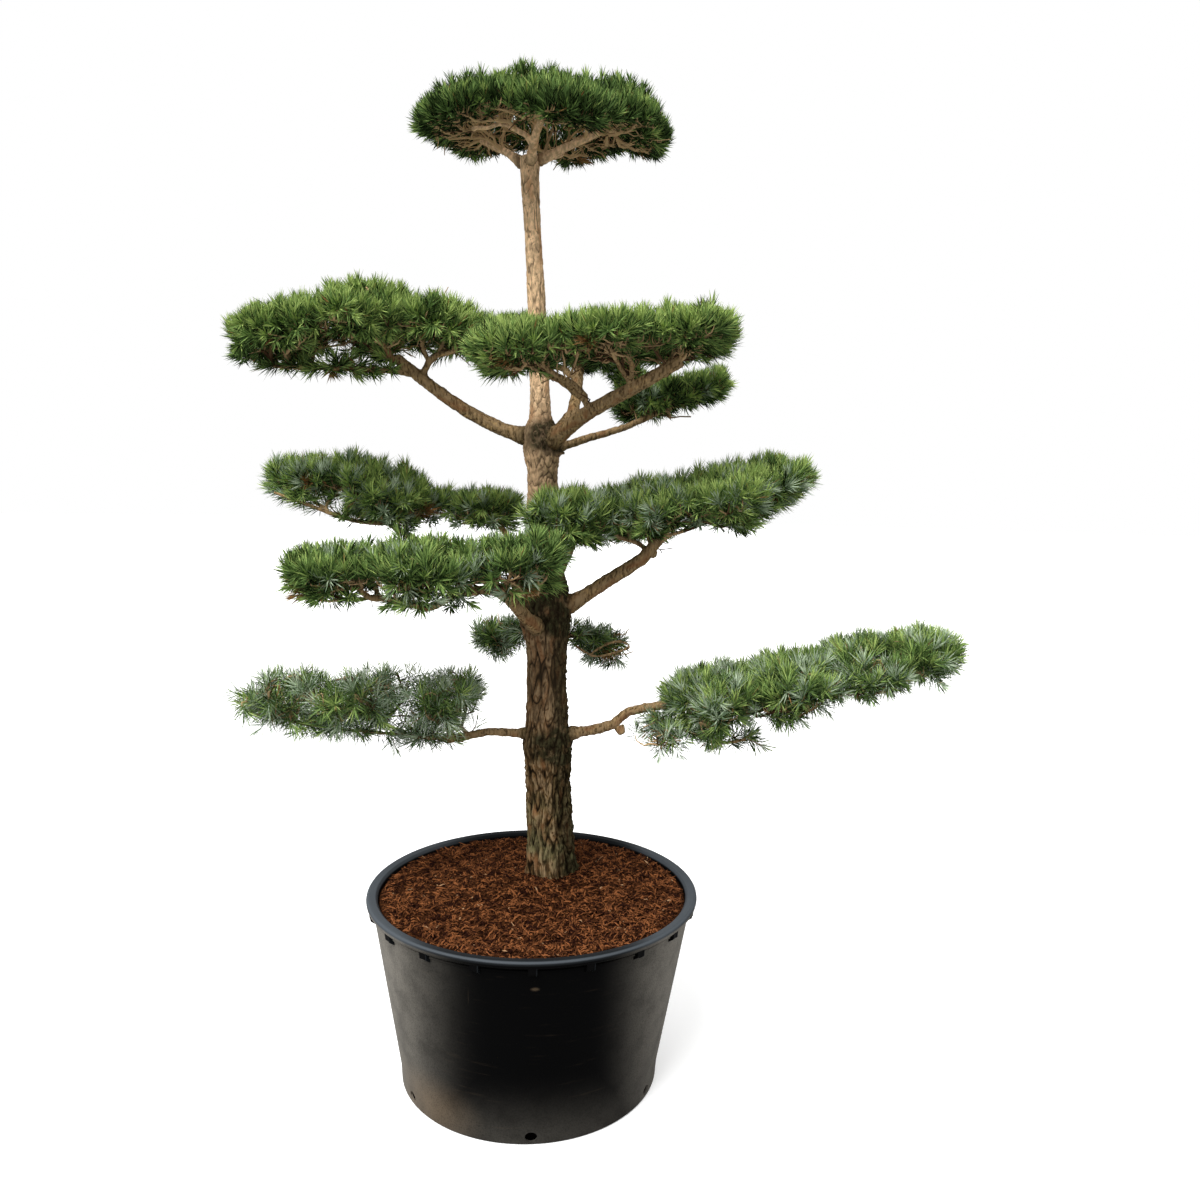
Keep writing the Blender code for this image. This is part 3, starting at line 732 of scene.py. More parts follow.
def pot_material(pot):
    """Black plastic: a greyed lip, painted lighter at its sides as a painted reflection, with a painted highlight
    along its roll and its underside left black as painted shade; dust above the foot; dust with a painted sheen
    of grazing reflection that thickens to the sides, more on the left where the light comes from; and old marks."""
    material, nodes, shader = start_material("container")
    place = nodes.add("ShaderNodeTexCoord").outputs["Object"]
    parts = nodes.add("ShaderNodeSeparateXYZ", {0: place})
    height = parts.outputs["Z"]
    shares = []
    # Dust at the sides carries a painted sheen of grazing reflection, more on the left; the foot has plain dust
    for value, low, high, dust in (
        (parts.outputs["X"], -0.05, -0.45, pot.left_dust_and_sheen),
        (parts.outputs["X"], 0.16, 0.42, pot.right_dust_and_sheen),
        (parts.outputs["Y"], -0.10, 0.46, pot.right_dust_and_sheen),
        (height, 0.24, -0.02, pot.foot_dust),
    ):
        share = nodes.spread(value, low, high)
        shares.append(nodes.times(nodes.times(share, share), dust))
    left, right, back, foot = shares
    slope = (pot.shoulder - pot.band) / (POT_HIGH.z - pot.lip_height - 0.05)
    out = nodes.add("ShaderNodeVectorMath", {0: nodes.stretched(place, (1.0, 1.0, 0.0))}, operation="LENGTH")
    out = out.outputs["Value"]
    beyond = nodes.add("ShaderNodeMath", {0: height, 1: -slope, 2: out}, operation="MULTIPLY_ADD").outputs[0]
    wall = pot.band - slope * 0.05
    outside = nodes.spread(beyond, wall - pot.wall * 0.8, wall - pot.wall * 0.4)
    where = nodes.times(nodes.most(nodes.most(left, right), nodes.most(back, foot)), outside)
    cloud = patches(nodes, place, 16.0, 0.25, 0.75)
    speckle = patches(nodes, place, 260.0, 0.30, 0.70)
    uneven = nodes.times(nodes.spread(cloud, -1.5, 1.0), nodes.spread(speckle, -1.5, 1.0))
    colour = nodes.mix(nodes.times(uneven, where), colour4(pot.plastic), colour4(pot.dust))
    mud = spot(nodes, place, (-0.250, -0.270, 0.040), (0.190, 0.300, 0.130), 0.0)
    colour = nodes.mix(nodes.times(nodes.times(mud, uneven), 0.42), colour, colour4(pot.mud))
    scuffs = nodes.times(patches(nodes, nodes.stretched(place, (7.0, 7.0, 90.0)), 1.0, 0.60, 0.76), 0.035)
    for middle, size, strength in POT_MARKS:
        mark = nodes.times(spot(nodes, place, middle, size, 0.2), nodes.times(uneven, strength))
        scuffs = nodes.most(scuffs, mark)
    colour = nodes.mix(scuffs, colour, colour4(pot.mud))
    top, thick = POT_HIGH.z, pot.lip_height
    # The grey covers only the top of the lip's roll; its underside stays black as painted shade
    on_lip = nodes.spread(height, top - thick * 0.62, top - thick * 0.34)
    # Painted highlight: a pale line along the outer roll of the lip
    edge = nodes.times(
        nodes.spread(height, top - thick * 0.36, top - thick * 0.20),
        nodes.spread(height, top - thick * 0.02, top - thick * 0.14),
    )
    edge = nodes.times(edge, nodes.spread(out, POT_HIGH.x - 0.012, POT_HIGH.x - 0.008))
    # Painted reflection: the lip is painted lighter at the sides
    lip_flank_reflection = nodes.spread(nodes.most(left, right), 0.0, 0.8)
    lip = nodes.mix(lip_flank_reflection, colour4(pot.lip), colour4(pot.lip, 5.2))
    lip = nodes.mix(nodes.times(edge, 0.8), lip, colour4(pot.lip, 7.0))
    colour = nodes.mix(on_lip, colour, lip)
    nodes.link(colour, shader.inputs["Base Color"])
    nodes.link(nodes.spread(cloud, 0.0, 1.0, 0.38, 0.46), shader.inputs["Roughness"])
    shader.inputs["Specular IOR Level"].default_value = 0.025
    bump = nodes.add("ShaderNodeBump", {"Height": speckle, "Strength": 0.10, "Distance": 0.001})
    nodes.link(bump.outputs[0], shader.inputs["Normal"])
    return material


def soil_material(soil):
    material, nodes, shader = start_material("soil_ground")
    place = nodes.add("ShaderNodeTexCoord").outputs["Object"]
    fine = patches(nodes, place, 120.0, 0.35, 0.65)
    colour = nodes.mix(fine, colour4(soil.dark, 0.5), colour4(soil.light, 0.35))
    height = nodes.add("ShaderNodeSeparateXYZ", {0: place}).outputs["Z"]
    colour = nodes.mix(nodes.spread(height, 0.46, 0.40), colour, colour4(soil.dark, 0.1))
    nodes.link(colour, shader.inputs["Base Color"])
    shader.inputs["Roughness"].default_value = 0.95
    shader.inputs["Specular IOR Level"].default_value = 0.02
    bump = nodes.add("ShaderNodeBump", {"Height": fine, "Strength": 0.8, "Distance": 0.004})
    nodes.link(bump.outputs[0], shader.inputs["Normal"])
    return material


# Wood


Way = namedtuple("Way", "name points radii")


def wood_way(name, sections):
    """The line through the middle of a limb's or the trunk's CAD solid, from its root to its tip."""
    points = node_points(name)
    middle = points.mean(0)
    axis = np.linalg.svd(points - middle, full_matrices=False)[2][0]
    along = (points - middle) @ axis
    ends = middle + np.outer([along.min(), along.max()], axis)
    trunk_line = np.array([[*((TRUNK_LOW.xy + TRUNK_HIGH.xy) / 2)]])
    if name == "trunk":
        swap = ends[0][2] > ends[1][2]
    else:
        away = np.linalg.norm(ends[:, :2] - trunk_line, axis=1)
        swap = away[0] > away[1]
    low, high = along.min(), along.max()
    steps = np.linspace(low, high, sections + 2)
    steps[0] += (high - low) * 0.004
    steps[-1] -= (high - low) * 0.004
    if swap:
        steps = steps[::-1]
    solid = bmesh.new()
    solid.from_mesh(NODES[name].data)
    bmesh.ops.remove_doubles(solid, verts=solid.verts, dist=1e-5)
    line, radii = [], []
    for step in steps:
        plane = middle + axis * step
        slice_ = solid.copy()
        geometry = slice_.verts[:] + slice_.edges[:] + slice_.faces[:]
        cut = bmesh.ops.bisect_plane(slice_, geom=geometry, plane_co=plane, plane_no=axis)
        ring = np.array([g.co[:] for g in cut["geom_cut"] if isinstance(g, bmesh.types.BMVert)])
        slice_.free()
        if len(ring) >= 3:
            centre = (ring.min(0) + ring.max(0)) / 2
            line.append(centre)
            radii.append(np.linalg.norm(ring - centre, axis=1).mean())
    solid.free()
    return Way(name, np.array(line), np.array(radii))


def close_samples(way, spacing):
    """Samples along a way: places, directions, distances from its root and radii."""
    legs = np.diff(way.points, axis=0)
    lengths = np.linalg.norm(legs, axis=1)
    walked = np.concatenate([[0.0], np.cumsum(lengths)])
    count = max(int(walked[-1] / spacing), 2)
    at = np.linspace(0.0, walked[-1], count)
    places = np.stack([np.interp(at, walked, way.points[:, i]) for i in range(3)], 1)
    directions = unit(np.gradient(places, axis=0))
    return places, directions, at, np.interp(at, walked, way.radii)


def knot_share(height):
    """How much a height on the trunk lies in one of its dark whorls."""
    share = 0.0
    for middle, half in WHORLS:
        share = max(share, 1.8 - 1.8 * abs(height - middle) / half)
    return min(max(share, 0.0), 1.0)


def joined_wood(name, sources, boughs, grid):
    """Copies of CAD solids and closed tubes for boughs, merged into one even mesh."""
    piece = copied_nodes(sources)
    for bough in boughs:
        corners, faces = tube(bough.points, bough.radii, 8)
        new_object("bough", array_mesh("bough", corners, faces)).select_set(True)
    if boughs:
        bpy.ops.object.join()
    piece.name = name
    bpy.ops.object.mode_set(mode="EDIT")
    bpy.ops.mesh.select_all(action="SELECT")
    bpy.ops.mesh.fill_holes(sides=8)
    bpy.ops.object.mode_set(mode="OBJECT")
    remesh = piece.modifiers.new("even faces", "REMESH")
    remesh.mode = "VOXEL"
    remesh.voxel_size = grid
    bpy.ops.object.modifier_apply(modifier=remesh.name)
    piece.data.shade_smooth()
    return piece


def stub_ways(stubs):
    """Short lines with a blunt end, for cut stubs and knuckles."""
    found = []
    for foot, way, length, radius in stubs:
        way = unit(np.array(way))
        line = np.array(foot) + np.outer([0.0, 0.6, 0.95, 1.0], way) * length
        found.append(Way("stub", line, radius * np.array([1.25, 1.0, 0.85, 0.5])))
    return found


def smooth_line(places):
    """A line through the places with its corners rounded, four points for each stretch."""
    places = np.array(places)
    at = np.linspace(0, len(places) - 1, len(places) * 4 - 3)
    line = np.stack([np.interp(at, np.arange(len(places)), places[:, i]) for i in range(3)], 1)
    for _ in range(4):
        line[1:-1] = (line[:-2] + 2 * line[1:-1] + line[2:]) / 4
    return line


def ridges(place, wide, long, shift):
    """0 in winding fissures and 1 on the ridges between them; place is across and along the wood."""
    across, along = place
    return min(abs(noise.noise(across / wide + along / long + shift)) * 5.0, 1.0)


def pad_branches(pad):
    """The boughs in plain sight that belong to a pad."""
    found = []
    for name, places, root, tip in BRANCHES:
        if name == pad.name:
            line = smooth_line(places)
            found.append(Way("branch", line, np.linspace(root, tip, len(line))))
    return found


def make_bark(name, sources, boughs, ways, grid, material):
    """One bark mesh round its CAD solids: merged, then raised in ridges with fissures between."""
    wood = bpy.context.scene.pine_wood
    piece = joined_wood(name, sources, boughs, grid)
    mesh = piece.data
    ways = [*ways, *(bough for bough in boughs if bough.name != "stub")]
    rows = []
    axes = [Vector(unit(way.points[-1] - way.points[0])) for way in ways]
    for number, way in enumerate(ways):
        for place, direction, at, radius in zip(*close_samples(way, 0.012)):
            rows.append((Vector(place), Vector(direction), at, number, radius))
    tree = kdtree.KDTree(len(rows))
    for index, row in enumerate(rows):
        tree.insert(row[0], index)
    tree.balance()
    trunk = node_tree("trunk")
    count = len(mesh.vertices)
    layers = {key: np.zeros(count, np.float32) for key in ("plate", "youth", "knot_and_shade", "tone")}
    moved = np.zeros((count, 3), np.float32)
    for index, vertex in enumerate(mesh.vertices):
        point = vertex.co
        centre, direction, at, number, radius = rows[tree.find(point)[1]]
        on_trunk = ways[number].name == "trunk"
        on_limb = ways[number].name in LIMBS
        across = point - centre
        ahead = across.dot(direction)
        across -= direction * ahead
        at += ahead
        along = axes[number] * at
        # On the trunk this also paints light on the bark between 1.05 and 1.42
        youth = float(np.interp(point.z, *(TRUNK_YOUTH_AND_LIGHT if on_trunk else LIMB_YOUTH)))
        shift = Vector((number * 7.3, 0.0, 0.0)) + noise.noise_vector(point * 14.0) * 0.35
        width = wood.plate_width * (1.0 - 0.30 * youth)
        length = wood.plate_length * (1.0 - 0.40 * youth)
        tone = 0.5 + 0.6 * noise.noise(across / 0.022 + along / 0.07 + shift * 2.0)
        lump = noise.fractal(point * 60.0, 0.8, 2.0, 3)
        if on_trunk:
            place = (across, along)
            coarse = ridges(place, width, length, shift)
            small = ridges(place, width * 0.55, length * 0.45, shift * 1.7)
            plate = min(coarse, 0.30 + 0.70 * small)
            depth = wood.fissure * (1.0 - 0.72 * youth)
            # Painted shade: the right side of the trunk below 1.55 is darkened, and the whorls are darkened more
            # on that side
            side = across.normalized().x
            shade = min(max((side - 0.12) / 0.40, 0.0), 1.0) * min(max((1.55 - point.z) / 0.15, 0.0), 1.0)
            knot_and_shade = min(knot_share(point.z) * (1.3 + 0.8 * side) + 0.80 * shade, 1.0)
            swell = 0.0
        else:
            plate = 0.55 + 0.45 * ridges((across, along), 0.009, 0.045, shift)
            depth = 0.0016
            knot_and_shade = swell = 0.0
            # Painted shade darkens the roots of the limbs where they meet the trunk
            if on_limb and at < 0.14:
                gap = (trunk.find_nearest(point)[0] - point).length
                root = max(0.0, 1.0 - gap / 0.050)
                swell = radius * 0.55 * root * root
                knot_and_shade = 0.75 * max(0.0, 1.0 - gap / 0.030)
        lift = (plate - 0.72) * depth + swell
        if ways[number].name == SLIM_LIMB:
            lift -= radius * 0.45 * min(max((at - SLIM_FROM) / 0.04, 0.0), 1.0)
        lift += lump * (0.0007 + 0.0012 * (1.0 - youth) + 0.0030 * knot_and_shade)
        moved[index] = point + vertex.normal * lift
        for key, value in (("plate", plate), ("youth", youth), ("knot_and_shade", max(knot_and_shade, 0.0)), ("tone", tone)):
            layers[key][index] = value
    mesh.vertices.foreach_set("co", moved.ravel())
    for key, values in layers.items():
        layer = mesh.attributes.new(key, "FLOAT", "POINT")
        layer.data.foreach_set("value", values)
    mesh.materials.clear()
    mesh.materials.append(material)
    mesh.update()
    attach(piece, "root")
    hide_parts(*sources)


# Growing


def thin_out(points, spacing, rng):
    """Numbers of points that are kept, so that none stand closer than the spacing."""
    tree = kdtree.KDTree(len(points))
    for index, point in enumerate(points):
        tree.insert(point, index)
    tree.balance()
    gone = np.zeros(len(points), bool)
    kept = []
    for index in rng.permutation(len(points)):
        if gone[index]:
            continue
        kept.append(index)
        for _, other, _ in tree.find_range(points[index], spacing[index]):
            gone[other] = True
    return np.array(kept)


Skin = namedtuple("Skin", "corners normals areas tree")


def copied_nodes(names):
    """One object made of copies of CAD nodes, with its doubles merged."""
    deselect()
    for name in names:
        copy = new_object("copy", NODES[name].data.copy())
        copy.select_set(True)
        bpy.context.view_layer.objects.active = copy
    if len(names) > 1:
        bpy.ops.object.join()
    piece = bpy.context.view_layer.objects.active
    bpy.ops.object.mode_set(mode="EDIT")
    bpy.ops.mesh.select_all(action="SELECT")
    bpy.ops.mesh.remove_doubles(threshold=1e-5)
    bpy.ops.object.mode_set(mode="OBJECT")
    return piece


def pad_skin(pad):
    """One smooth skin round a pad's masses: swollen, merged and shrunk back, so that notches fill."""
    piece = copied_nodes(pad.masses)
    masses = BVHTree.FromObject(piece, bpy.context.evaluated_depsgraph_get())
    for swell in (0.0, pad.fill, -pad.fill) if pad.fill else (0.0,):
        if swell:
            move = piece.modifiers.new("move", "DISPLACE")
            move.strength = swell
            move.mid_level = 0.0
        if swell or not piece.modifiers:
            merge = piece.modifiers.new("merge", "REMESH")
            merge.mode = "VOXEL"
            merge.voxel_size = SKIN_GRID
    even = piece.modifiers.new("even", "SMOOTH")
    even.iterations = pad.smooth
    for modifier in list(piece.modifiers):
        bpy.ops.object.modifier_apply(modifier=modifier.name)
    mesh = piece.data
    mesh.calc_loop_triangles()
    points = np.array([vertex.co[:] for vertex in mesh.vertices])
    faces = np.array([tuple(face.vertices) for face in mesh.loop_triangles])
    corners = points[faces]
    sides = np.cross(corners[:, 1] - corners[:, 0], corners[:, 2] - corners[:, 0])
    areas = np.linalg.norm(sides, axis=1) / 2
    for face, middle in enumerate(corners.mean(1)):
        if masses.find_nearest(Vector(middle))[3] > pad.fill + 0.01:
            areas[face] = 0.0
    for place, radius, height in LIFTS:
        near = np.clip(1.0 - np.linalg.norm(points - np.array(place), axis=1) / radius, 0.0, 1.0)
        points += UP * (height * near * near * (3 - 2 * near))[:, None]
    corners = points[faces]
    tree = BVHTree.FromPolygons([Vector(point) for point in points], faces.tolist())
    bpy.data.objects.remove(piece)
    return Skin(corners, unit(sides), areas, tree)


def underside(skin, place):
    """Height of the underside of a pad over or under a place, or none beside the pad."""
    hit, _, _, _ = skin.tree.ray_cast(Vector((place[0], place[1], -1.0)), Vector((0.0, 0.0, 1.0)))
    return hit.z if hit else None


def kept_up(skin, place, least):
    """The place, raised off the underside of the pad where it would hang lower than that and least."""
    floor = underside(skin, place)
    if floor is not None:
        place[2] = max(place[2], min(floor + OFF_UNDERSIDE, least))
    return place


def kept_in(skin, place, depth, only_top=False):
    """The place, moved inwards where it would stand outside the skin or nearer to it than the depth."""
    near, normal, _, _ = skin.tree.find_nearest(Vector(place))
    if only_top and normal.z < 0.0:
        return place
    if (Vector(place) - near).dot(normal) > -depth:
        return np.array(near - normal * depth)
    return place


def skin_samples(pad, skin, limbs, rng):
    """Random places on the parts of a skin that bear needles, and the way the skin faces there."""
    count = int(skin.areas.sum() / pad.spacing**2 * 4.0)
    chosen = rng.choice(len(skin.areas), count, p=skin.areas / skin.areas.sum())
    shares = rng.dirichlet((1.0, 1.0, 1.0), count)
    places = (skin.corners[chosen] * shares[:, :, None]).sum(1)
    normals = skin.normals[chosen]
    clumps = np.array([noise.noise(Vector(place) / pad.clump) for place in places])
    middle = (skin.corners.min((0, 1)) + skin.corners.max((0, 1))) / 2
    half = (skin.corners.max((0, 1)) - skin.corners.min((0, 1))) / 2
    out = np.linalg.norm((places - middle)[:, :2] / half[:2], axis=1)
    bears = (normals[:, 2] > pad.lowest) & (clumps > pad.bare * 0.9 - 0.45)
    bears &= (normals[:, 2] > -0.08) | (out > pad.hollow)
    for tree, reach in limbs:
        near = np.array([tree.find(place)[2] < reach for place in places])
        bears &= (normals[:, 2] > 0.10) | ~near
    for gap, radius in GAPS:
        bears &= np.linalg.norm(places - np.array(gap), axis=1) > radius
    return places[bears], normals[bears]


def place_shoots(pad, skin, limbs, rng):
    """Shoots whose needles end at the skin of the pad or deeper in its shade, up on its top and outwards
    at its rim."""
    places, normals = skin_samples(pad, skin, limbs, rng)
    sides = 0.5 + 0.5 * pad.open_below
    spacing = pad.spacing * np.interp(normals[:, 2], [-0.5, 0.0, 0.4], [pad.open_below, sides, 1.0])
    kept = thin_out(places, spacing, rng)
    deep = rng.choice(np.flatnonzero(normals[:, 2] < 0.55), int(len(kept) * pad.inner))
    sunk = np.concatenate([np.zeros(len(kept)), rng.uniform(*INNER_DEPTH, len(deep))])
    kept = np.concatenate([kept, deep])
    normals = normals[kept]
    hang = pad.sag * np.clip(-normals[:, 2:3] * 2.0, 0.0, 1.0) * (sunk == 0.0)[:, None]
    uneven = rng.normal(0.0, pad.ragged, (len(kept), 1)) * (sunk == 0.0)[:, None]
    places = places[kept] + normals * (uneven - sunk[:, None]) - UP * hang
    share = pad.upright * np.clip((normals[:, 2:3] + 0.35) / 0.95, 0.0, 1.0)
    outwards = normals.copy()
    outwards[:, 2] = np.maximum(outwards[:, 2], pad.droop)
    lean = rng.normal(0.0, 0.08 + 0.22 * (1.0 - pad.upright), places.shape)
    ways = unit(unit(outwards) * (1.0 - share) + UP * share + lean)
    feet = places - ways * rng.uniform(*FOOT_DEPTH, (len(places), 1))
    feet = np.array([kept_in(skin, foot, LEAST_DEPTH - low) for foot, low in zip(feet, hang[:, 0])])
    lengths = rng.uniform(*SHOOT_LENGTH, len(places))
    # How much light a shoot gets, for the painted light and shade of its needles: more where the skin faces up,
    # less for shoots that stand deeper
    opens = 0.5 + 0.5 * normals[:, 2] - 0.45 * (sunk > 0.0)
    return feet, ways, lengths, np.maximum(opens, 0.0)


def wood_shoots(pad, wood_places, rng):
    """Shoots that stand right on the wood, all round it."""
    feet = wood_places[rng.choice(len(wood_places), pad.on_wood)]
    ways = rng.normal(0.0, 1.0, feet.shape)
    ways[:, 2] = rng.uniform(pad.droop, 1.0, len(feet))
    lengths = rng.uniform(*SHOOT_LENGTH, len(feet))
    # Shoots on the wood get little light, for painted shade
    return feet, unit(ways), lengths, rng.uniform(0.0, 0.5, len(feet))


def gather_whorls(skin, feet, ways, rng):
    """Groups neighbouring shoots that spring from one place on a twig."""
    tree = kdtree.KDTree(len(feet))
    for index, foot in enumerate(feet):
        tree.insert(foot, index)
    tree.balance()
    whorl_of = np.full(len(feet), -1)
    places, headings = [], []
    for index in rng.permutation(len(feet)):
        if whorl_of[index] >= 0:
            continue
        near = [row[1] for row in sorted(tree.find_range(feet[index], WHORL_REACH), key=lambda row: row[2])]
        group = [n for n in near if whorl_of[n] < 0 and ways[n] @ ways[index] > 0.45][:IN_WHORL]
        whorl_of[group] = len(places)
        heading = unit(ways[group].mean(0))
        places.append(kept_in(skin, feet[group].mean(0) - heading * WHORL_DROP, LEAST_DEPTH))
        headings.append(heading)
    return whorl_of, np.array(places), np.array(headings)


def leader_ends(pad, seeds):
    """Where the main boughs of a pad go: to the middle and rim of each mass."""
    found = []
    for name in pad.masses:
        low, high = (np.array(corner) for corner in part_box(name))
        middle = (low + high) / 2
        middle[2] = low[2] + pad.rise * (high[2] - low[2])
        root = seeds[np.argmin(np.linalg.norm(seeds - middle, axis=1))]
        away = middle - root
        away[2] = 0.0
        away = unit(away)
        found.append((middle, unit(away + UP * pad.rise)))
        for turn in (-0.75, 0.0, 0.75):
            cos, sin = math.cos(turn), math.sin(turn)
            way = np.array([away[0] * cos - away[1] * sin, away[0] * sin + away[1] * cos, 0.10])
            half = (high - low)[:2] / 2
            reach = 0.55 / math.sqrt((way[0] / half[0]) ** 2 + (way[1] / half[1]) ** 2)
            found.append((middle + way * reach, unit(way + UP * pad.rise * 0.5)))
    return found


Skeleton = namedtuple("Skeleton", "points parents tips")


def grow_boughs(pad, skin, seeds, seed_directions, thick, ends, headings, rng):
    """Seeded branching: leaders first, then each whorl, joins the wood that costs it least to reach."""
    leaders = leader_ends(pad, seeds)
    most = len(seeds) + (len(ends) + len(leaders)) * 60
    points = np.zeros((most, 3))
    ways = np.zeros((most, 3))
    walks = np.zeros(most)
    minor = np.zeros(most)
    parents = np.full(most, -1)
    count = len(seeds)
    points[:count] = seeds
    ways[:count] = seed_directions
    thin = thick < THIN_WOOD
    walks[:count] = thin * 0.15
    minor[:count] = thin
    order = [(place, heading, -1) for place, heading in leaders]
    order.sort(key=lambda row: np.linalg.norm(seeds - row[0], axis=1).min())
    gaps = np.linalg.norm(ends[:, None] - seeds[None], axis=2).min(1)
    order += [(ends[index], headings[index], index) for index in np.argsort(gaps)]
    tips = np.zeros(len(ends), int)
    for end, heading, index in order:
        reach = end - points[:count]
        gap = np.linalg.norm(reach, axis=1)
        turn = 1.0 - (reach * ways[:count]).sum(1) / np.maximum(gap, 1e-6)
        sinks = np.maximum(-reach[:, 2] / np.maximum(gap, 1e-6), 0.0)
        direct = pad.direct if index < 0 else pad.direct * 0.35
        cost = gap * (1.0 + 0.35 * turn + 0.7 * sinks + 0.35 * minor[:count]) + direct * walks[:count]
        best = int(np.argmin(cost))
        distance = gap[best]
        steps = max(int(math.ceil(distance / STEP)), 2)
        start = points[best]
        lead = unit(ways[best] * 0.7 + unit(reach[best]) * 0.7)
        first = start + lead * distance * 0.33
        second = end - heading * distance * 0.33
        lowest = min(start[2], end[2])
        first[2] = max(first[2], lowest)
        second[2] = max(second[2], lowest)
        bend = np.clip(rng.normal(0.0, 0.07, 3) * distance, -MOST_BEND, MOST_BEND)
        bend[2] = abs(bend[2])
        before, previous = best, start
        for step in range(1, steps + 1):
            t = step / steps
            point = (
                start * (1 - t) ** 3
                + first * 3 * t * (1 - t) ** 2
                + second * 3 * t * t * (1 - t)
                + end * t**3
                + bend * math.sin(math.pi * t)
            )
            if step < steps:
                point = point + rng.normal(0.0, 0.0030, 3)
                point = kept_up(skin, point, start[2] + (end[2] - start[2]) * t)
                point = kept_in(skin, point, LEAST_DEPTH, only_top=True)
            points[count] = point
            ways[count] = unit(point - previous)
            parents[count] = before
            walks[count] = walks[before] + np.linalg.norm(point - previous)
            minor[count] = index >= 0
            before, previous = count, point
            count += 1
        if index >= 0:
            tips[index] = before
    return Skeleton(points[:count], parents[:count], tips)


def bough_radii(skeleton, thick):
    """Thickness by what each stretch carries, no thicker than the wood it leaves."""
    load = np.zeros(len(skeleton.points))
    np.add.at(load, skeleton.tips, 1.0)
    for index in range(len(load) - 1, len(thick) - 1, -1):
        load[skeleton.parents[index]] += load[index]
    radii = TIP_RADIUS * np.maximum(load, 1.0) ** THICKENING
    radii[: len(thick)] = thick * 0.85
    for index in range(len(thick), len(load)):
        radii[index] = min(radii[index], max(radii[skeleton.parents[index]], TIP_RADIUS))
    return radii, load


def tube(points, radii, sides):
    """Points and square faces of a tube along a line."""
    directions = unit(np.gradient(points, axis=0))
    first, _ = side_axes(directions[:1])
    axis = first[0]
    rings = []
    angles = np.arange(sides) * 2 * math.pi / sides
    for place, direction, radius in zip(points, directions, radii):
        axis = unit(axis - direction * (axis @ direction))
        other = np.cross(direction, axis)
        ring = np.outer(np.cos(angles), axis) + np.outer(np.sin(angles), other)
        rings.append(place + ring * radius)
    corners = np.concatenate(rings)
    start = np.arange(sides)
    following = (start + 1) % sides
    faces = []
    for ring in range(len(points) - 1):
        low = ring * sides
        high = low + sides
        faces.append(np.stack([low + start, low + following, high + following, high + start], 1))
    return corners, np.concatenate(faces)


def bough_lines(skeleton, load, seed_count):
    """The skeleton cut into lines, each from a fork to a tip along its heaviest branch."""
    children = {}
    for index in range(seed_count, len(load)):
        children.setdefault(int(skeleton.parents[index]), []).append(index)
    starts = []
    for parent, kids in children.items():
        kids.sort(key=lambda k: -load[k])
        first = 0 if parent < seed_count else 1
        starts += [(parent, kid) for kid in kids[first:]]
    lines = []
    for parent, kid in starts:
        line = [parent, kid]
        while line[-1] in children:
            line.append(children[line[-1]][0])
        lines.append(line)
    return lines


def way_tree(ways):
    """A search tree over the lines through some wood."""
    points = np.concatenate([close_samples(way, 0.02)[0] for way in ways])
    tree = kdtree.KDTree(len(points))
    for index, point in enumerate(points):
        tree.insert(point, index)
    tree.balance()
    return tree


def pad_seeds(pad, ways):
    """Places, directions and radii of the wood that a pad's boughs may start from."""
    seeds, directions, thick = [], [], []
    for way in ways:
        places, heading, at, radii = close_samples(way, 0.02)
        outer = at >= at[-1] * (1 - pad.bearing) * (way.name in LIMBS)
        seeds.append(places[outer])
        directions.append(heading[outer])
        thick.append(radii[outer])
    return np.concatenate(seeds), np.concatenate(directions), np.concatenate(thick)


def shoot_twigs(feet, ways, lengths, whorl_of, whorl_places):
    """A short curved twig from each whorl out to each of its shoots, and up the shoot's first part."""
    lines = []
    for foot, way, length, whorl in zip(feet, ways, lengths, whorl_of):
        start = whorl_places[whorl]
        bend = (start + foot) / 2 + (foot - start - way * ((foot - start) @ way)) * 0.25
        lines.append(np.array([start, bend, foot + way * length * 0.30]))
    return lines


def spur_twigs(pad, skeleton, load, rng):
    """Thin bare twigs on the middle boughs, some of them forked."""
    bearing = np.flatnonzero((load >= 2) & (load <= 40))
    lines = []
    for index in rng.choice(bearing, min(pad.spurs, len(bearing)), replace=False):
        start = skeleton.points[index]
        way = unit(rng.normal(0.0, 1.0, 3) * [1.0, 1.0, 0.5] + UP * 0.4)
        length = rng.uniform(0.03, 0.075)
        bend = rng.normal(0.0, 0.006, (2, 3))
        middle = start + way * length * 0.5 + bend[0]
        lines.append(np.array([start, middle, start + way * length + bend[1]]))
        if rng.uniform() < 0.5:
            side = unit(way + rng.normal(0.0, 0.5, 3))
            lines.append(np.array([middle, middle + side * length * 0.25, middle + side * length * 0.5]))
    return lines


Growth = namedtuple("Growth", "pad skeleton radii lines fine feet ways lengths opens")


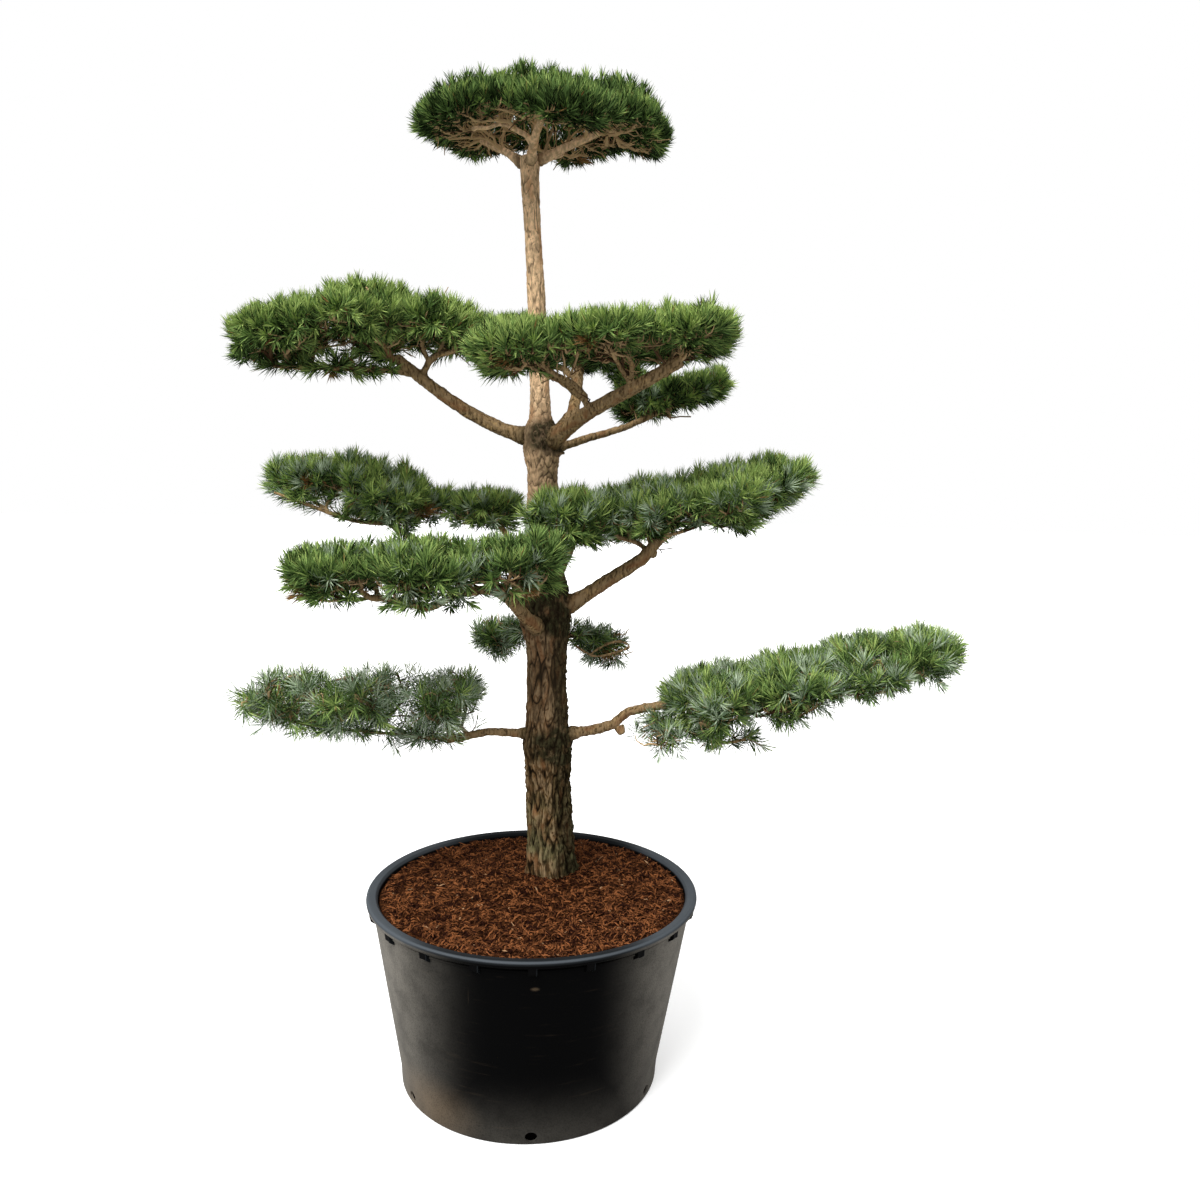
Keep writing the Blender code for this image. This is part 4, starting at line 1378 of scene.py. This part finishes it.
def grow_pad(pad, limb_ways, rng):
    """The boughs, twigs and shoots of one pad, as lines with their thickness."""
    skin = pad_skin(pad)
    own_limbs = [way for way in limb_ways if way.name in pad.limbs]
    own_ways = own_limbs + pad_branches(pad)
    limbs = [(way_tree(own_limbs), OFF_LIMB)]
    if pad_branches(pad):
        limbs.append((way_tree(pad_branches(pad)), OFF_BRANCH))
    feet, ways, lengths, opens = place_shoots(pad, skin, limbs, rng)
    whorl_of, places, headings = gather_whorls(skin, feet, ways, rng)
    seeds, directions, thick = pad_seeds(pad, own_ways)
    skeleton = grow_boughs(pad, skin, seeds, directions, thick, places, headings, rng)
    radii, load = bough_radii(skeleton, thick)
    lines = bough_lines(skeleton, load, len(seeds))
    fine = shoot_twigs(feet, ways, lengths, whorl_of, places) + spur_twigs(pad, skeleton, load, rng)
    if pad.on_wood:
        on_branch = [close_samples(way, 0.02)[0] for way in pad_branches(pad)] * BRANCH_SHARE
        wood = np.concatenate([seeds, skeleton.points[load >= 4], *on_branch])
        floors = [underside(skin, place) for place in wood]
        if pad.bearing < 1.0:
            under = [f is not None and f - place[2] < UNDER_PAD for f, place in zip(floors, wood)]
        else:
            under = [True] * len(wood)
        bare_wood = wood[np.array(under)]
        extra = wood_shoots(pad, bare_wood, rng)
        for foot, way, length in zip(*extra[:3]):
            fine.append(np.array([foot, foot + way * length * 0.5, foot + way * length]))
        feet, ways, lengths, opens = (
            np.concatenate(pair) for pair in zip((feet, ways, lengths, opens), extra)
        )
    print("PAD", pad.name, "shoots", len(feet), "whorls", len(places), "load", int(load.max()))
    return Growth(pad, skeleton, radii, lines, fine, feet, ways, lengths, opens)


@functools.cache
def growths(seed):
    """Every pad's growth, worked out once from the seed."""
    rng = np.random.default_rng(seed)
    limb_ways = [wood_way(name, 9) for name in LIMBS]
    return [grow_pad(pad, limb_ways, rng) for pad in PADS]


def line_radii(growth, line):
    thick = growth.radii[line].copy()
    thick[0] = thick[1]
    return thick


def thick_boughs(growth):
    """The stretches of boughs that are thick enough to show bark."""
    found = []
    for line in growth.lines:
        thick = line_radii(growth, line)
        count = int((thick >= THICK_BOUGH).sum())
        if count >= 3:
            found.append(Way("bough", growth.skeleton.points[line[:count]], thick[:count]))
    return found


def make_twigs(growth, twig_materials, rng):
    """All thin wood of a pad as one piece, each twig in one of the twig colours."""
    corner_sets, face_sets, dealt = [], [], []
    start = 0
    rows = []
    for line in growth.lines:
        thick = line_radii(growth, line)
        bare = int((thick >= THICK_BOUGH).sum())
        if bare >= 3:
            line = line[bare - 1:]
            thick = thick[bare - 1:]
        if len(line) >= 2:
            rows.append((growth.skeleton.points[line], thick, 6 if thick[0] > 0.004 else 4))
    for points in growth.fine:
        rows.append((points, TIP_RADIUS * np.array([0.95, 0.85, 0.60]), 3))
    for points, thick, sides in rows:
        corners, faces = tube(points, thick, sides)
        corner_sets.append(corners)
        face_sets.append(faces + start)
        rest = (1.0 - growth.pad.tan) / 2
        dealt.append(np.full(len(faces), rng.choice(3, p=(growth.pad.tan, rest, rest))))
        start += len(corners)
    name = growth.pad.name + "_twigs"
    faces = np.concatenate(face_sets)
    mesh = array_mesh(
        name, np.concatenate(corner_sets), faces, twig_materials, np.concatenate(dealt), smooth=True
    )
    twigs = new_object(name, mesh)
    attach(twigs, "root")
    return len(faces) * 2


def needle_corners(growth, foliage, count, rng):
    """Corners of all needles: each is two thin faces, folded a little along its length."""
    shoots = len(growth.feet)
    along = 0.06 + 0.94 * (np.arange(count) + 0.5) / count
    spin = np.arange(count)[None] * GOLDEN_ANGLE + rng.uniform(0, 2 * math.pi, (shoots, 1))
    spin = spin + rng.normal(0.0, 0.30, (shoots, count))
    lean = np.interp(along, [0.0, 0.6, 1.0], [0.85, 0.58, 0.28])[None] * growth.pad.spread
    lean = lean + rng.normal(0, 0.17, (shoots, count))
    first, second = side_axes(growth.ways)
    side = np.cos(spin)[..., None] * first[:, None] + np.sin(spin)[..., None] * second[:, None]
    way = unit(np.cos(lean)[..., None] * growth.ways[:, None] + np.sin(lean)[..., None] * side)
    foot = growth.feet[:, None] + growth.ways[:, None] * (along[None] * growth.lengths[:, None])[..., None]
    reach = foliage.needle_length * growth.pad.length * rng.uniform(0.72, 1.0, (shoots, count))
    reach = reach * np.interp(along, [0.0, 0.75, 1.0], [1.0, 0.95, 0.80])[None]
    tip = foot + way * reach[..., None]
    flat = unit(np.cross(way, side) + 0.45 * rng.normal(0.0, 1.0, side.shape))
    flat = unit(flat - way * (flat * way).sum(-1, keepdims=True))
    half = foliage.needle_width * growth.pad.width / 2 * rng.uniform(0.75, 1.1, (shoots, count, 1))
    middle = foot + way * (reach * 0.42)[..., None]
    lift = np.cross(way, flat) * half * 0.5
    corners = np.stack([foot, middle + flat * half + lift, tip, middle - flat * half + lift], 2)
    return corners.reshape(-1, 3)


def deal_colours(growth, count, rng):
    """The plain colour of each needle: by the kind of its spray, which is paler where the shoot is lit and darker
    where it is shaded (painted light and shade), and by its place along the spray, darker towards the foot
    (painted shade).
    """
    pad = growth.pad
    shoots = len(growth.feet)
    # Painted light and shade: lit shoots, facing up and out, are dealt the paler sprays, shaded ones the darker,
    # bluer and dead ones
    light = growth.opens * 0.5 + np.clip(growth.ways[:, 2], 0, 1) * 0.5
    patch = np.array([noise.noise(Vector(foot) / 0.07) for foot in growth.feet])
    draw = rng.uniform(0.0, 1.0, shoots) + 0.35 * patch
    fresh = pad.fresh * (0.30 + 0.95 * light)
    old = pad.old * (1.50 - 0.80 * light)
    kinds = np.array([SPRAYS["green"]] * shoots)
    kinds[draw < fresh] = SPRAYS["fresh"]
    kinds[draw > 1.0 - old] = SPRAYS["old"]
    kinds[rng.uniform(0.0, 1.0, shoots) < pad.blue * (1.2 - 0.4 * light)] = SPRAYS["blue"]
    kinds[(rng.uniform(0.0, 1.0, shoots) < 0.006) & (light < 0.60)] = SPRAYS["dead"]
    # Painted shade: needles nearer the foot of a spray take its darker colours
    along = (np.arange(count)[None] + 0.5) / count + rng.normal(0.0, 0.17, (shoots, count))
    level = np.where(along > 0.62, 0, np.where(along > 0.28, 1, 2))
    dealt = np.take_along_axis(kinds, level, 1)
    pick = rng.uniform(0.0, 1.0, dealt.shape)
    dealt = np.where((pick < 0.30) & (dealt < 4), dealt + 1, dealt)
    dealt = np.where((pick < 0.13) & (dealt < 4), dealt + 1, dealt)
    dealt = np.where((pick > 0.80) & (dealt > 0) & (dealt < 5), dealt - 1, dealt)
    dealt = np.where((pick > 0.40) & (pick < 0.408), len(NEEDLE_KINDS) - 1, dealt)
    return dealt.reshape(-1)


def make_needles(growth, foliage, needle_materials, rng):
    """All needles of a pad as one piece, in plain colours dealt out by spray."""
    count = int(foliage.needles * growth.pad.needles)
    dealt = deal_colours(growth, count, rng)
    corners = needle_corners(growth, foliage, count, rng)
    needles = len(corners) // 4
    first = np.arange(needles)[:, None] * 4
    faces = np.concatenate([first + [[0, 1, 2]], first + [[0, 2, 3]]], 1).reshape(-1, 3)
    name = growth.pad.name + "_needles"
    piece = new_object(name, array_mesh(name, corners, faces, needle_materials, np.repeat(dealt, 2)))
    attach(piece, "root")
    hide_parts(*growth.pad.masses)
    return len(faces)


# Operators


class PINE_OT_wood(bpy.types.Operator):
    """Model the bark of the trunk, the limbs and the thick boughs"""

    bl_idname = "pine.wood"
    bl_label = "Bark"

    def execute(self, context):
        wood = context.scene.pine_wood
        grown = growths(context.scene.pine_foliage.seed)
        boughs = [bough for growth in grown for bough in thick_boughs(growth)]
        boughs += stub_ways(LIMB_STUBS)
        boughs += [branch for pad in PADS for branch in pad_branches(pad)]
        boughs.append(Way("loop", smooth_line(LIMB_LOOP), np.full(len(LIMB_LOOP) * 4 - 3, LOOP_RADIUS)))
        stubs = stub_ways(TRUNK_STUBS)
        trunk_way = wood_way("trunk", 40)
        old = bark_material("bark", wood.old_bark)
        make_bark("trunk_bark", ("trunk",), stubs, [trunk_way], wood.trunk_grid, old)
        limb_ways = [wood_way(name, 9) for name in LIMBS]
        smooth = bark_material("limb_bark", wood.limb_bark)
        make_bark("limb_bark", LIMBS, boughs, limb_ways, wood.limb_grid, smooth)
        return {"FINISHED"}


class PINE_OT_foliage(bpy.types.Operator):
    """Grow the twigs and needles of every pad"""

    bl_idname = "pine.foliage"
    bl_label = "Foliage"

    def execute(self, context):
        foliage = context.scene.pine_foliage
        wood = context.scene.pine_wood
        rng = np.random.default_rng(foliage.seed + 1)
        needle_materials = [plain_material("needles_" + k, getattr(foliage, k), 0.6) for k in NEEDLE_KINDS]
        twig_materials = [
            plain_material("twigs_light", wood.twig, 0.8),
            plain_material("twigs_brown", [c * 0.6 for c in wood.twig], 0.8),
            plain_material("twigs_dark", wood.dark_twig, 0.85),
        ]
        twigs = needles = 0
        for growth in growths(foliage.seed):
            twigs += make_twigs(growth, twig_materials, rng)
            needles += make_needles(growth, foliage, needle_materials, rng)
        print("TRIANGLES twigs", twigs, "needles", needles)
        return {"FINISHED"}


def pot_profile(pot):
    """Half section of the container, from the middle of its underside to the middle of its floor."""
    rim = POT_HIGH.x
    top = POT_HIGH.z
    under = top - pot.lip_height
    round_ = pot.lip_height / 2
    inner = rim - pot.lip_width
    slope = (pot.shoulder - pot.band) / (under - 0.05)
    points = [(0.0, 0.0), (pot.foot - 0.004, 0.0), (pot.foot, 0.004), (pot.band, 0.05)]
    points += [(pot.shoulder - slope * 0.014, under - 0.014), (pot.shoulder + 0.002, under - 0.012)]
    points += [(pot.shoulder + 0.002, under - 0.008), (pot.shoulder, under - 0.006), (pot.shoulder, under)]
    points.append((rim - round_ * 0.6, under))
    for step in range(1, 8):
        angle = -math.pi / 2 + math.pi * step / 8
        points.append((rim - round_ + round_ * math.cos(angle), under + round_ + round_ * math.sin(angle)))
    points.append((rim - round_, top))
    points.append((inner + round_ * 0.6, top - 0.003))
    points.append((inner, top - round_ * 0.9))
    points.append((inner - 0.002, under))
    points.append((pot.band - pot.wall, 0.05))
    points.append((pot.foot - pot.wall, pot.wall))
    points.append((0.0, pot.wall))
    return points


def turned(name, profile, steps):
    """A closed solid spun from a half section that starts and ends on the axis."""
    outline = bmesh.new()
    corners = [outline.verts.new((r, 0.0, z)) for r, z in profile]
    for first, second in zip(corners, corners[1:]):
        outline.edges.new((first, second))
    mesh = bpy.data.meshes.new(name)
    outline.to_mesh(mesh)
    outline.free()
    piece = new_object(name, mesh)
    deselect()
    piece.select_set(True)
    bpy.context.view_layer.objects.active = piece
    bpy.ops.object.mode_set(mode="EDIT")
    bpy.ops.mesh.select_all(action="SELECT")
    bpy.ops.mesh.spin(steps=steps, angle=2 * math.pi, center=(0, 0, 0), axis=(0, 0, 1))
    bpy.ops.mesh.select_all(action="SELECT")
    bpy.ops.mesh.remove_doubles(threshold=1e-5)
    bpy.ops.mesh.normals_make_consistent(inside=False)
    bpy.ops.object.mode_set(mode="OBJECT")
    return piece


def round_the_pot(first, count):
    """Turns of evenly spaced places round the container, counted from its front."""
    return [first + number * 2 * math.pi / count for number in range(count)]


def cut_holes(piece, pot):
    """Cuts the drain holes above the foot."""
    holes = []
    for turn in round_the_pot(pot.first_hole, pot.holes):
        out = Vector((math.sin(turn), -math.cos(turn), 0.0))
        place = out * pot.foot + Vector((0.0, 0.0, 0.022))
        deselect()
        bpy.ops.mesh.primitive_cylinder_add(
            vertices=16, radius=1.0, depth=0.05, location=place, rotation=(math.pi / 2, 0.0, turn)
        )
        hole = bpy.context.view_layer.objects.active
        hole.scale = (0.0165, 0.0130, 1.0)
        bpy.ops.object.transform_apply(location=True, rotation=True, scale=True)
        holes.append(hole)
    for hole in holes:
        hole.select_set(True)
    bpy.ops.object.join()
    cutter = bpy.context.view_layer.objects.active
    cut = piece.modifiers.new("drain holes", "BOOLEAN")
    cut.object = cutter
    cut.solver = "EXACT"
    deselect()
    piece.select_set(True)
    bpy.context.view_layer.objects.active = piece
    bpy.ops.object.modifier_apply(modifier=cut.name)
    bpy.data.objects.remove(cutter)


def lip_tabs(pot):
    """Black blocks under the lip, each as wide as a tab together with its shadow and so partly painted shadow,
    each with a thin rib at its side, as one mesh of closed wedges.
    """
    under = POT_HIGH.z - pot.lip_height
    outer = POT_HIGH.x - 0.004
    tab_and_shadow_block = (
        (pot.shoulder - 0.004, under + 0.004), (outer, under + 0.004), (outer - 0.003, under - 0.014),
        (pot.shoulder - 0.004, under - 0.024),
    )
    rib = (
        (pot.shoulder - 0.004, under + 0.004), (outer, under + 0.004), (outer - 0.002, under - 0.015),
        (pot.shoulder - 0.004, under - 0.026),
    )
    corners, faces, tones = [], [], []
    for turn in round_the_pot(pot.first_tab, pot.tabs):
        out = np.array([math.sin(turn), -math.cos(turn), 0.0])
        side = np.array([math.cos(turn), math.sin(turn), 0.0])
        for tone, (section, low, high) in enumerate(((tab_and_shadow_block, -0.022, -0.001), (rib, -0.001, 0.0012))):
            start = len(corners)
            for shift in (low, high):
                for r, z in section:
                    corners.append(out * r + side * shift + UP * z)
            faces += [(start + 3, start + 2, start + 1, start), (start + 4, start + 5, start + 6, start + 7)]
            for edge in range(4):
                after = (edge + 1) % 4
                faces.append((start + edge, start + after, start + after + 4, start + edge + 4))
            tones += [tone] * 6
    return np.array(corners), np.array(faces), np.array(tones)


class PINE_OT_container(bpy.types.Operator):
    """Turn the nursery container, cut its drain holes and hang the tabs under its lip"""

    bl_idname = "pine.container"
    bl_label = "Container"

    def execute(self, context):
        pot = context.scene.pine_pot
        piece = turned("container", pot_profile(pot), 144)
        cut_holes(piece, pot)
        bpy.ops.object.shade_smooth_by_angle(angle=math.radians(35))
        material = pot_material(pot)
        piece.data.materials.clear()
        piece.data.materials.append(material)
        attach(piece, "root")
        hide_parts("pot")
        corners, faces, tones = lip_tabs(pot)
        plain = [plain_material("tabs", pot.plastic, 0.5), plain_material("ribs", pot.lip, 0.5)]
        tabs = new_object("lip_tabs", array_mesh("lip_tabs", corners, faces, plain, tones))
        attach(tabs, "root")
        return {"FINISHED"}


def soil_level(x, y, tree):
    """Height of the soil, which is heaped a little against the lip."""
    place, _, _, _ = tree.ray_cast(Vector((x, y, 1.0)), Vector((0, 0, -1)))
    heap = min(max((math.hypot(x, y) - 0.33) / 0.10, 0.0), 1.0)
    return (place.z if place else SOIL_LOW.z) + 0.008 * heap * heap * (3 - 2 * heap)


def soil_lump(x, y):
    """Small rises and dents of the loose soil, with one deeper dent at the front left."""
    lump = noise.fractal(Vector((x, y, 0.0)) * 16.0, 0.8, 2.0, 4) * 0.006
    dent = math.exp(-((x + 0.30) ** 2 + (y + 0.22) ** 2) / 0.0016)
    return lump - 0.014 * dent - 0.003


def soil_shreds(soil, tree, radius, rng):
    """Corners, faces and tones of the shreds of bark and fibre that lie on the soil."""
    count = soil.chips
    turn = rng.uniform(0.0, 2 * math.pi, count)
    out = np.sqrt(rng.uniform(0.0, 1.0, count)) * (radius - 0.013)
    x, y = out * np.cos(turn), out * np.sin(turn)
    z = np.array([soil_level(a, b, tree) + soil_lump(a, b) for a, b in zip(x, y)])
    z += rng.uniform(0.000, 0.008, count)
    heading = rng.uniform(0.0, 2 * math.pi, count)
    tilt = rng.normal(0.0, 0.32, count)
    length = rng.gamma(3.0, 0.0042, count) + 0.005
    width = rng.uniform(0.0015, 0.0062, count)
    way = np.stack([np.cos(heading) * np.cos(tilt), np.sin(heading) * np.cos(tilt), np.sin(tilt)], 1)
    side = unit(np.stack([-np.sin(heading), np.cos(heading), rng.normal(0, 0.45, count)], 1))
    up = np.cross(way, side)
    middle = np.stack([x, y, z], 1)
    ends = way * (length / 2)[:, None]
    across = side * (width / 2)[:, None]
    thick = up * (width * 0.40)[:, None]
    bend = up * (length * 0.10)[:, None]
    corners = np.stack([
        middle - ends - across * 0.5 - bend, middle - ends + across * 0.5 - bend,
        middle + across, middle - across,
        middle + ends + across * 0.4 - bend, middle + ends - across * 0.4 - bend,
        middle + thick,
    ], 1).reshape(-1, 3)
    first = np.arange(count)[:, None] * 7
    shapes = [(0, 1, 6), (1, 2, 6), (2, 4, 6), (4, 5, 6), (5, 3, 6), (3, 0, 6)]
    faces = np.concatenate([first + [shape] for shape in shapes], 1).reshape(-1, 3)
    cloud = np.array([noise.noise(Vector((a, b, 0.0)) / 0.035) for a, b in zip(x, y)])
    tones = np.clip((rng.uniform(0.0, 4.0, count) + 2.2 * cloud).astype(int), 0, 3)
    tones[rng.uniform(0.0, 1.0, count) < 0.006] = 4
    return corners, faces, np.repeat(tones, len(shapes))


class PINE_OT_soil(bpy.types.Operator):
    """Fill the container with soil, and lay shreds of bark and coir on it"""

    bl_idname = "pine.soil"
    bl_label = "Soil"

    def execute(self, context):
        soil = context.scene.pine_soil
        pot = context.scene.pine_pot
        rng = np.random.default_rng(21)
        tree = node_tree("soil")
        radius = SOIL_HIGH.x - 0.001
        rings = 60
        edge = soil_level(radius - 0.003, 0.0, tree)
        profile = [(radius * ring / rings, 1.0) for ring in range(rings + 1)]
        profile += [(pot.foot - pot.wall - 0.002, 0.05), (pot.foot - pot.wall - 0.004, pot.wall + 0.001)]
        profile.append((0.0, pot.wall + 0.001))
        ground = turned("soil_ground", profile, 180)
        for vertex in ground.data.vertices:
            x, y = vertex.co.xy
            if vertex.co.z > 0.9:
                level = soil_level(x * 0.995, y * 0.995, tree)
                vertex.co.z = min(level + soil_lump(x, y), level + 0.006)
                if math.hypot(x, y) > radius - 0.002:
                    vertex.co.z = edge - 0.008
        ground.data.shade_smooth()
        ground.data.materials.clear()
        ground.data.materials.append(soil_material(soil))
        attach(ground, "root")
        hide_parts("soil")

        corners, faces, tones = soil_shreds(soil, tree, radius, rng)
        shares = (1.0, 0.55, 0.25, 0.0)
        mixed = [[d + (c - d) * s for c, d in zip(soil.light, soil.dark)] for s in shares]
        names = ("shreds_light", "shreds_brown", "shreds_deep", "shreds_dark")
        materials = [plain_material(name, colour, 0.9) for name, colour in zip(names, mixed)]
        materials.append(plain_material("straw", soil.straw, 0.8))
        shreds = new_object("soil_shreds", array_mesh("soil_shreds", corners, faces, materials, tones))
        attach(shreds, "root")
        return {"FINISHED"}


def seen_by_eye(nodes):
    return nodes.add("ShaderNodeLightPath").outputs["Is Camera Ray"]


class PINE_OT_stage(bpy.types.Operator):
    """Set up the floor, the light and the camera"""

    bl_idname = "pine.stage"
    bl_label = "Stage"

    def execute(self, context):
        stage = context.scene.pine_stage
        deselect()
        bpy.ops.mesh.primitive_circle_add(vertices=96, radius=60.0, fill_type="NGON")
        floor = context.view_layer.objects.active
        floor.name = "floor"
        material, nodes, shader = start_material("floor")
        seen = colour4(stage.floor)
        nodes.link(nodes.mix(seen_by_eye(nodes), colour4(stage.floor, 0.35), seen), shader.inputs["Base Color"])
        shader.inputs["Roughness"].default_value = 0.9
        shader.inputs["Specular IOR Level"].default_value = 0.0
        shader.inputs["Emission Color"].default_value = (1.0, 1.0, 1.0, 1.0)
        nodes.link(nodes.times(seen_by_eye(nodes), 0.35), shader.inputs["Emission Strength"])
        floor.data.materials.append(material)

        # Seen white, while it lights like an even sky that is strongest overhead
        world = bpy.data.worlds.new("studio")
        world.use_nodes = True
        nodes = Nodes(world.node_tree)
        background = world.node_tree.nodes["Background"]
        background.inputs["Color"].default_value = (1.0, 1.0, 1.0, 1.0)
        way = nodes.add("ShaderNodeTexCoord").outputs["Generated"]
        height = nodes.add("ShaderNodeSeparateXYZ", {0: way}).outputs["Z"]
        dome = nodes.spread(height, -0.1, 1.0, stage.sky * 0.45, stage.sky * 1.8)
        nodes.link(nodes.spread(seen_by_eye(nodes), 0.0, 1.0, dome, 1.0), background.inputs["Strength"])
        context.scene.world = world
        sun = bpy.data.lights.new("soft sun", "SUN")
        sun.energy = stage.sun
        sun.angle = stage.sun_width
        lamp = new_object("soft sun", sun)
        lamp.rotation_euler = Vector(stage.sun_from).to_track_quat("Z", "Y").to_euler()

        camera = bpy.data.cameras.new("camera")
        camera.lens = stage.lens
        camera.sensor_width = 36.0
        camera.sensor_fit = "HORIZONTAL"
        camera.shift_y = stage.shift
        eye = new_object("camera", camera)
        eye.location = stage.eye
        eye.rotation_euler = (math.pi / 2, -stage.roll, 0.0)
        context.scene.camera = eye
        context.scene.view_settings.view_transform = "Standard"
        return {"FINISHED"}


class PINE_PT_panel(bpy.types.Panel):
    """The pine's steps, in their order"""

    bl_label = "Potted pine"
    bl_space_type = "VIEW_3D"
    bl_region_type = "UI"
    bl_category = "Pine"

    def draw(self, context):
        for step in STEPS:
            self.layout.operator(step.bl_idname)


STEPS = (PINE_OT_wood, PINE_OT_foliage, PINE_OT_container, PINE_OT_soil, PINE_OT_stage)
SETTINGS = {
    "pine_foliage": FoliageSettings,
    "pine_wood": WoodSettings,
    "pine_pot": PotSettings,
    "pine_soil": SoilSettings,
    "pine_stage": StageSettings,
}


def register():
    for group in SETTINGS.values():
        bpy.utils.register_class(group)
    for step in (*STEPS, PINE_PT_panel):
        bpy.utils.register_class(step)
    for name, group in SETTINGS.items():
        setattr(bpy.types.Scene, name, bpy.props.PointerProperty(type=group))


def unregister():
    for name in SETTINGS:
        delattr(bpy.types.Scene, name)
    for step in (*STEPS, PINE_PT_panel):
        bpy.utils.unregister_class(step)
    for group in SETTINGS.values():
        bpy.utils.unregister_class(group)


def main():
    register()
    bpy.ops.pine.wood()
    bpy.ops.pine.foliage()
    bpy.ops.pine.container()
    bpy.ops.pine.soil()
    bpy.ops.pine.stage()


if __name__ == "__main__":
    main()
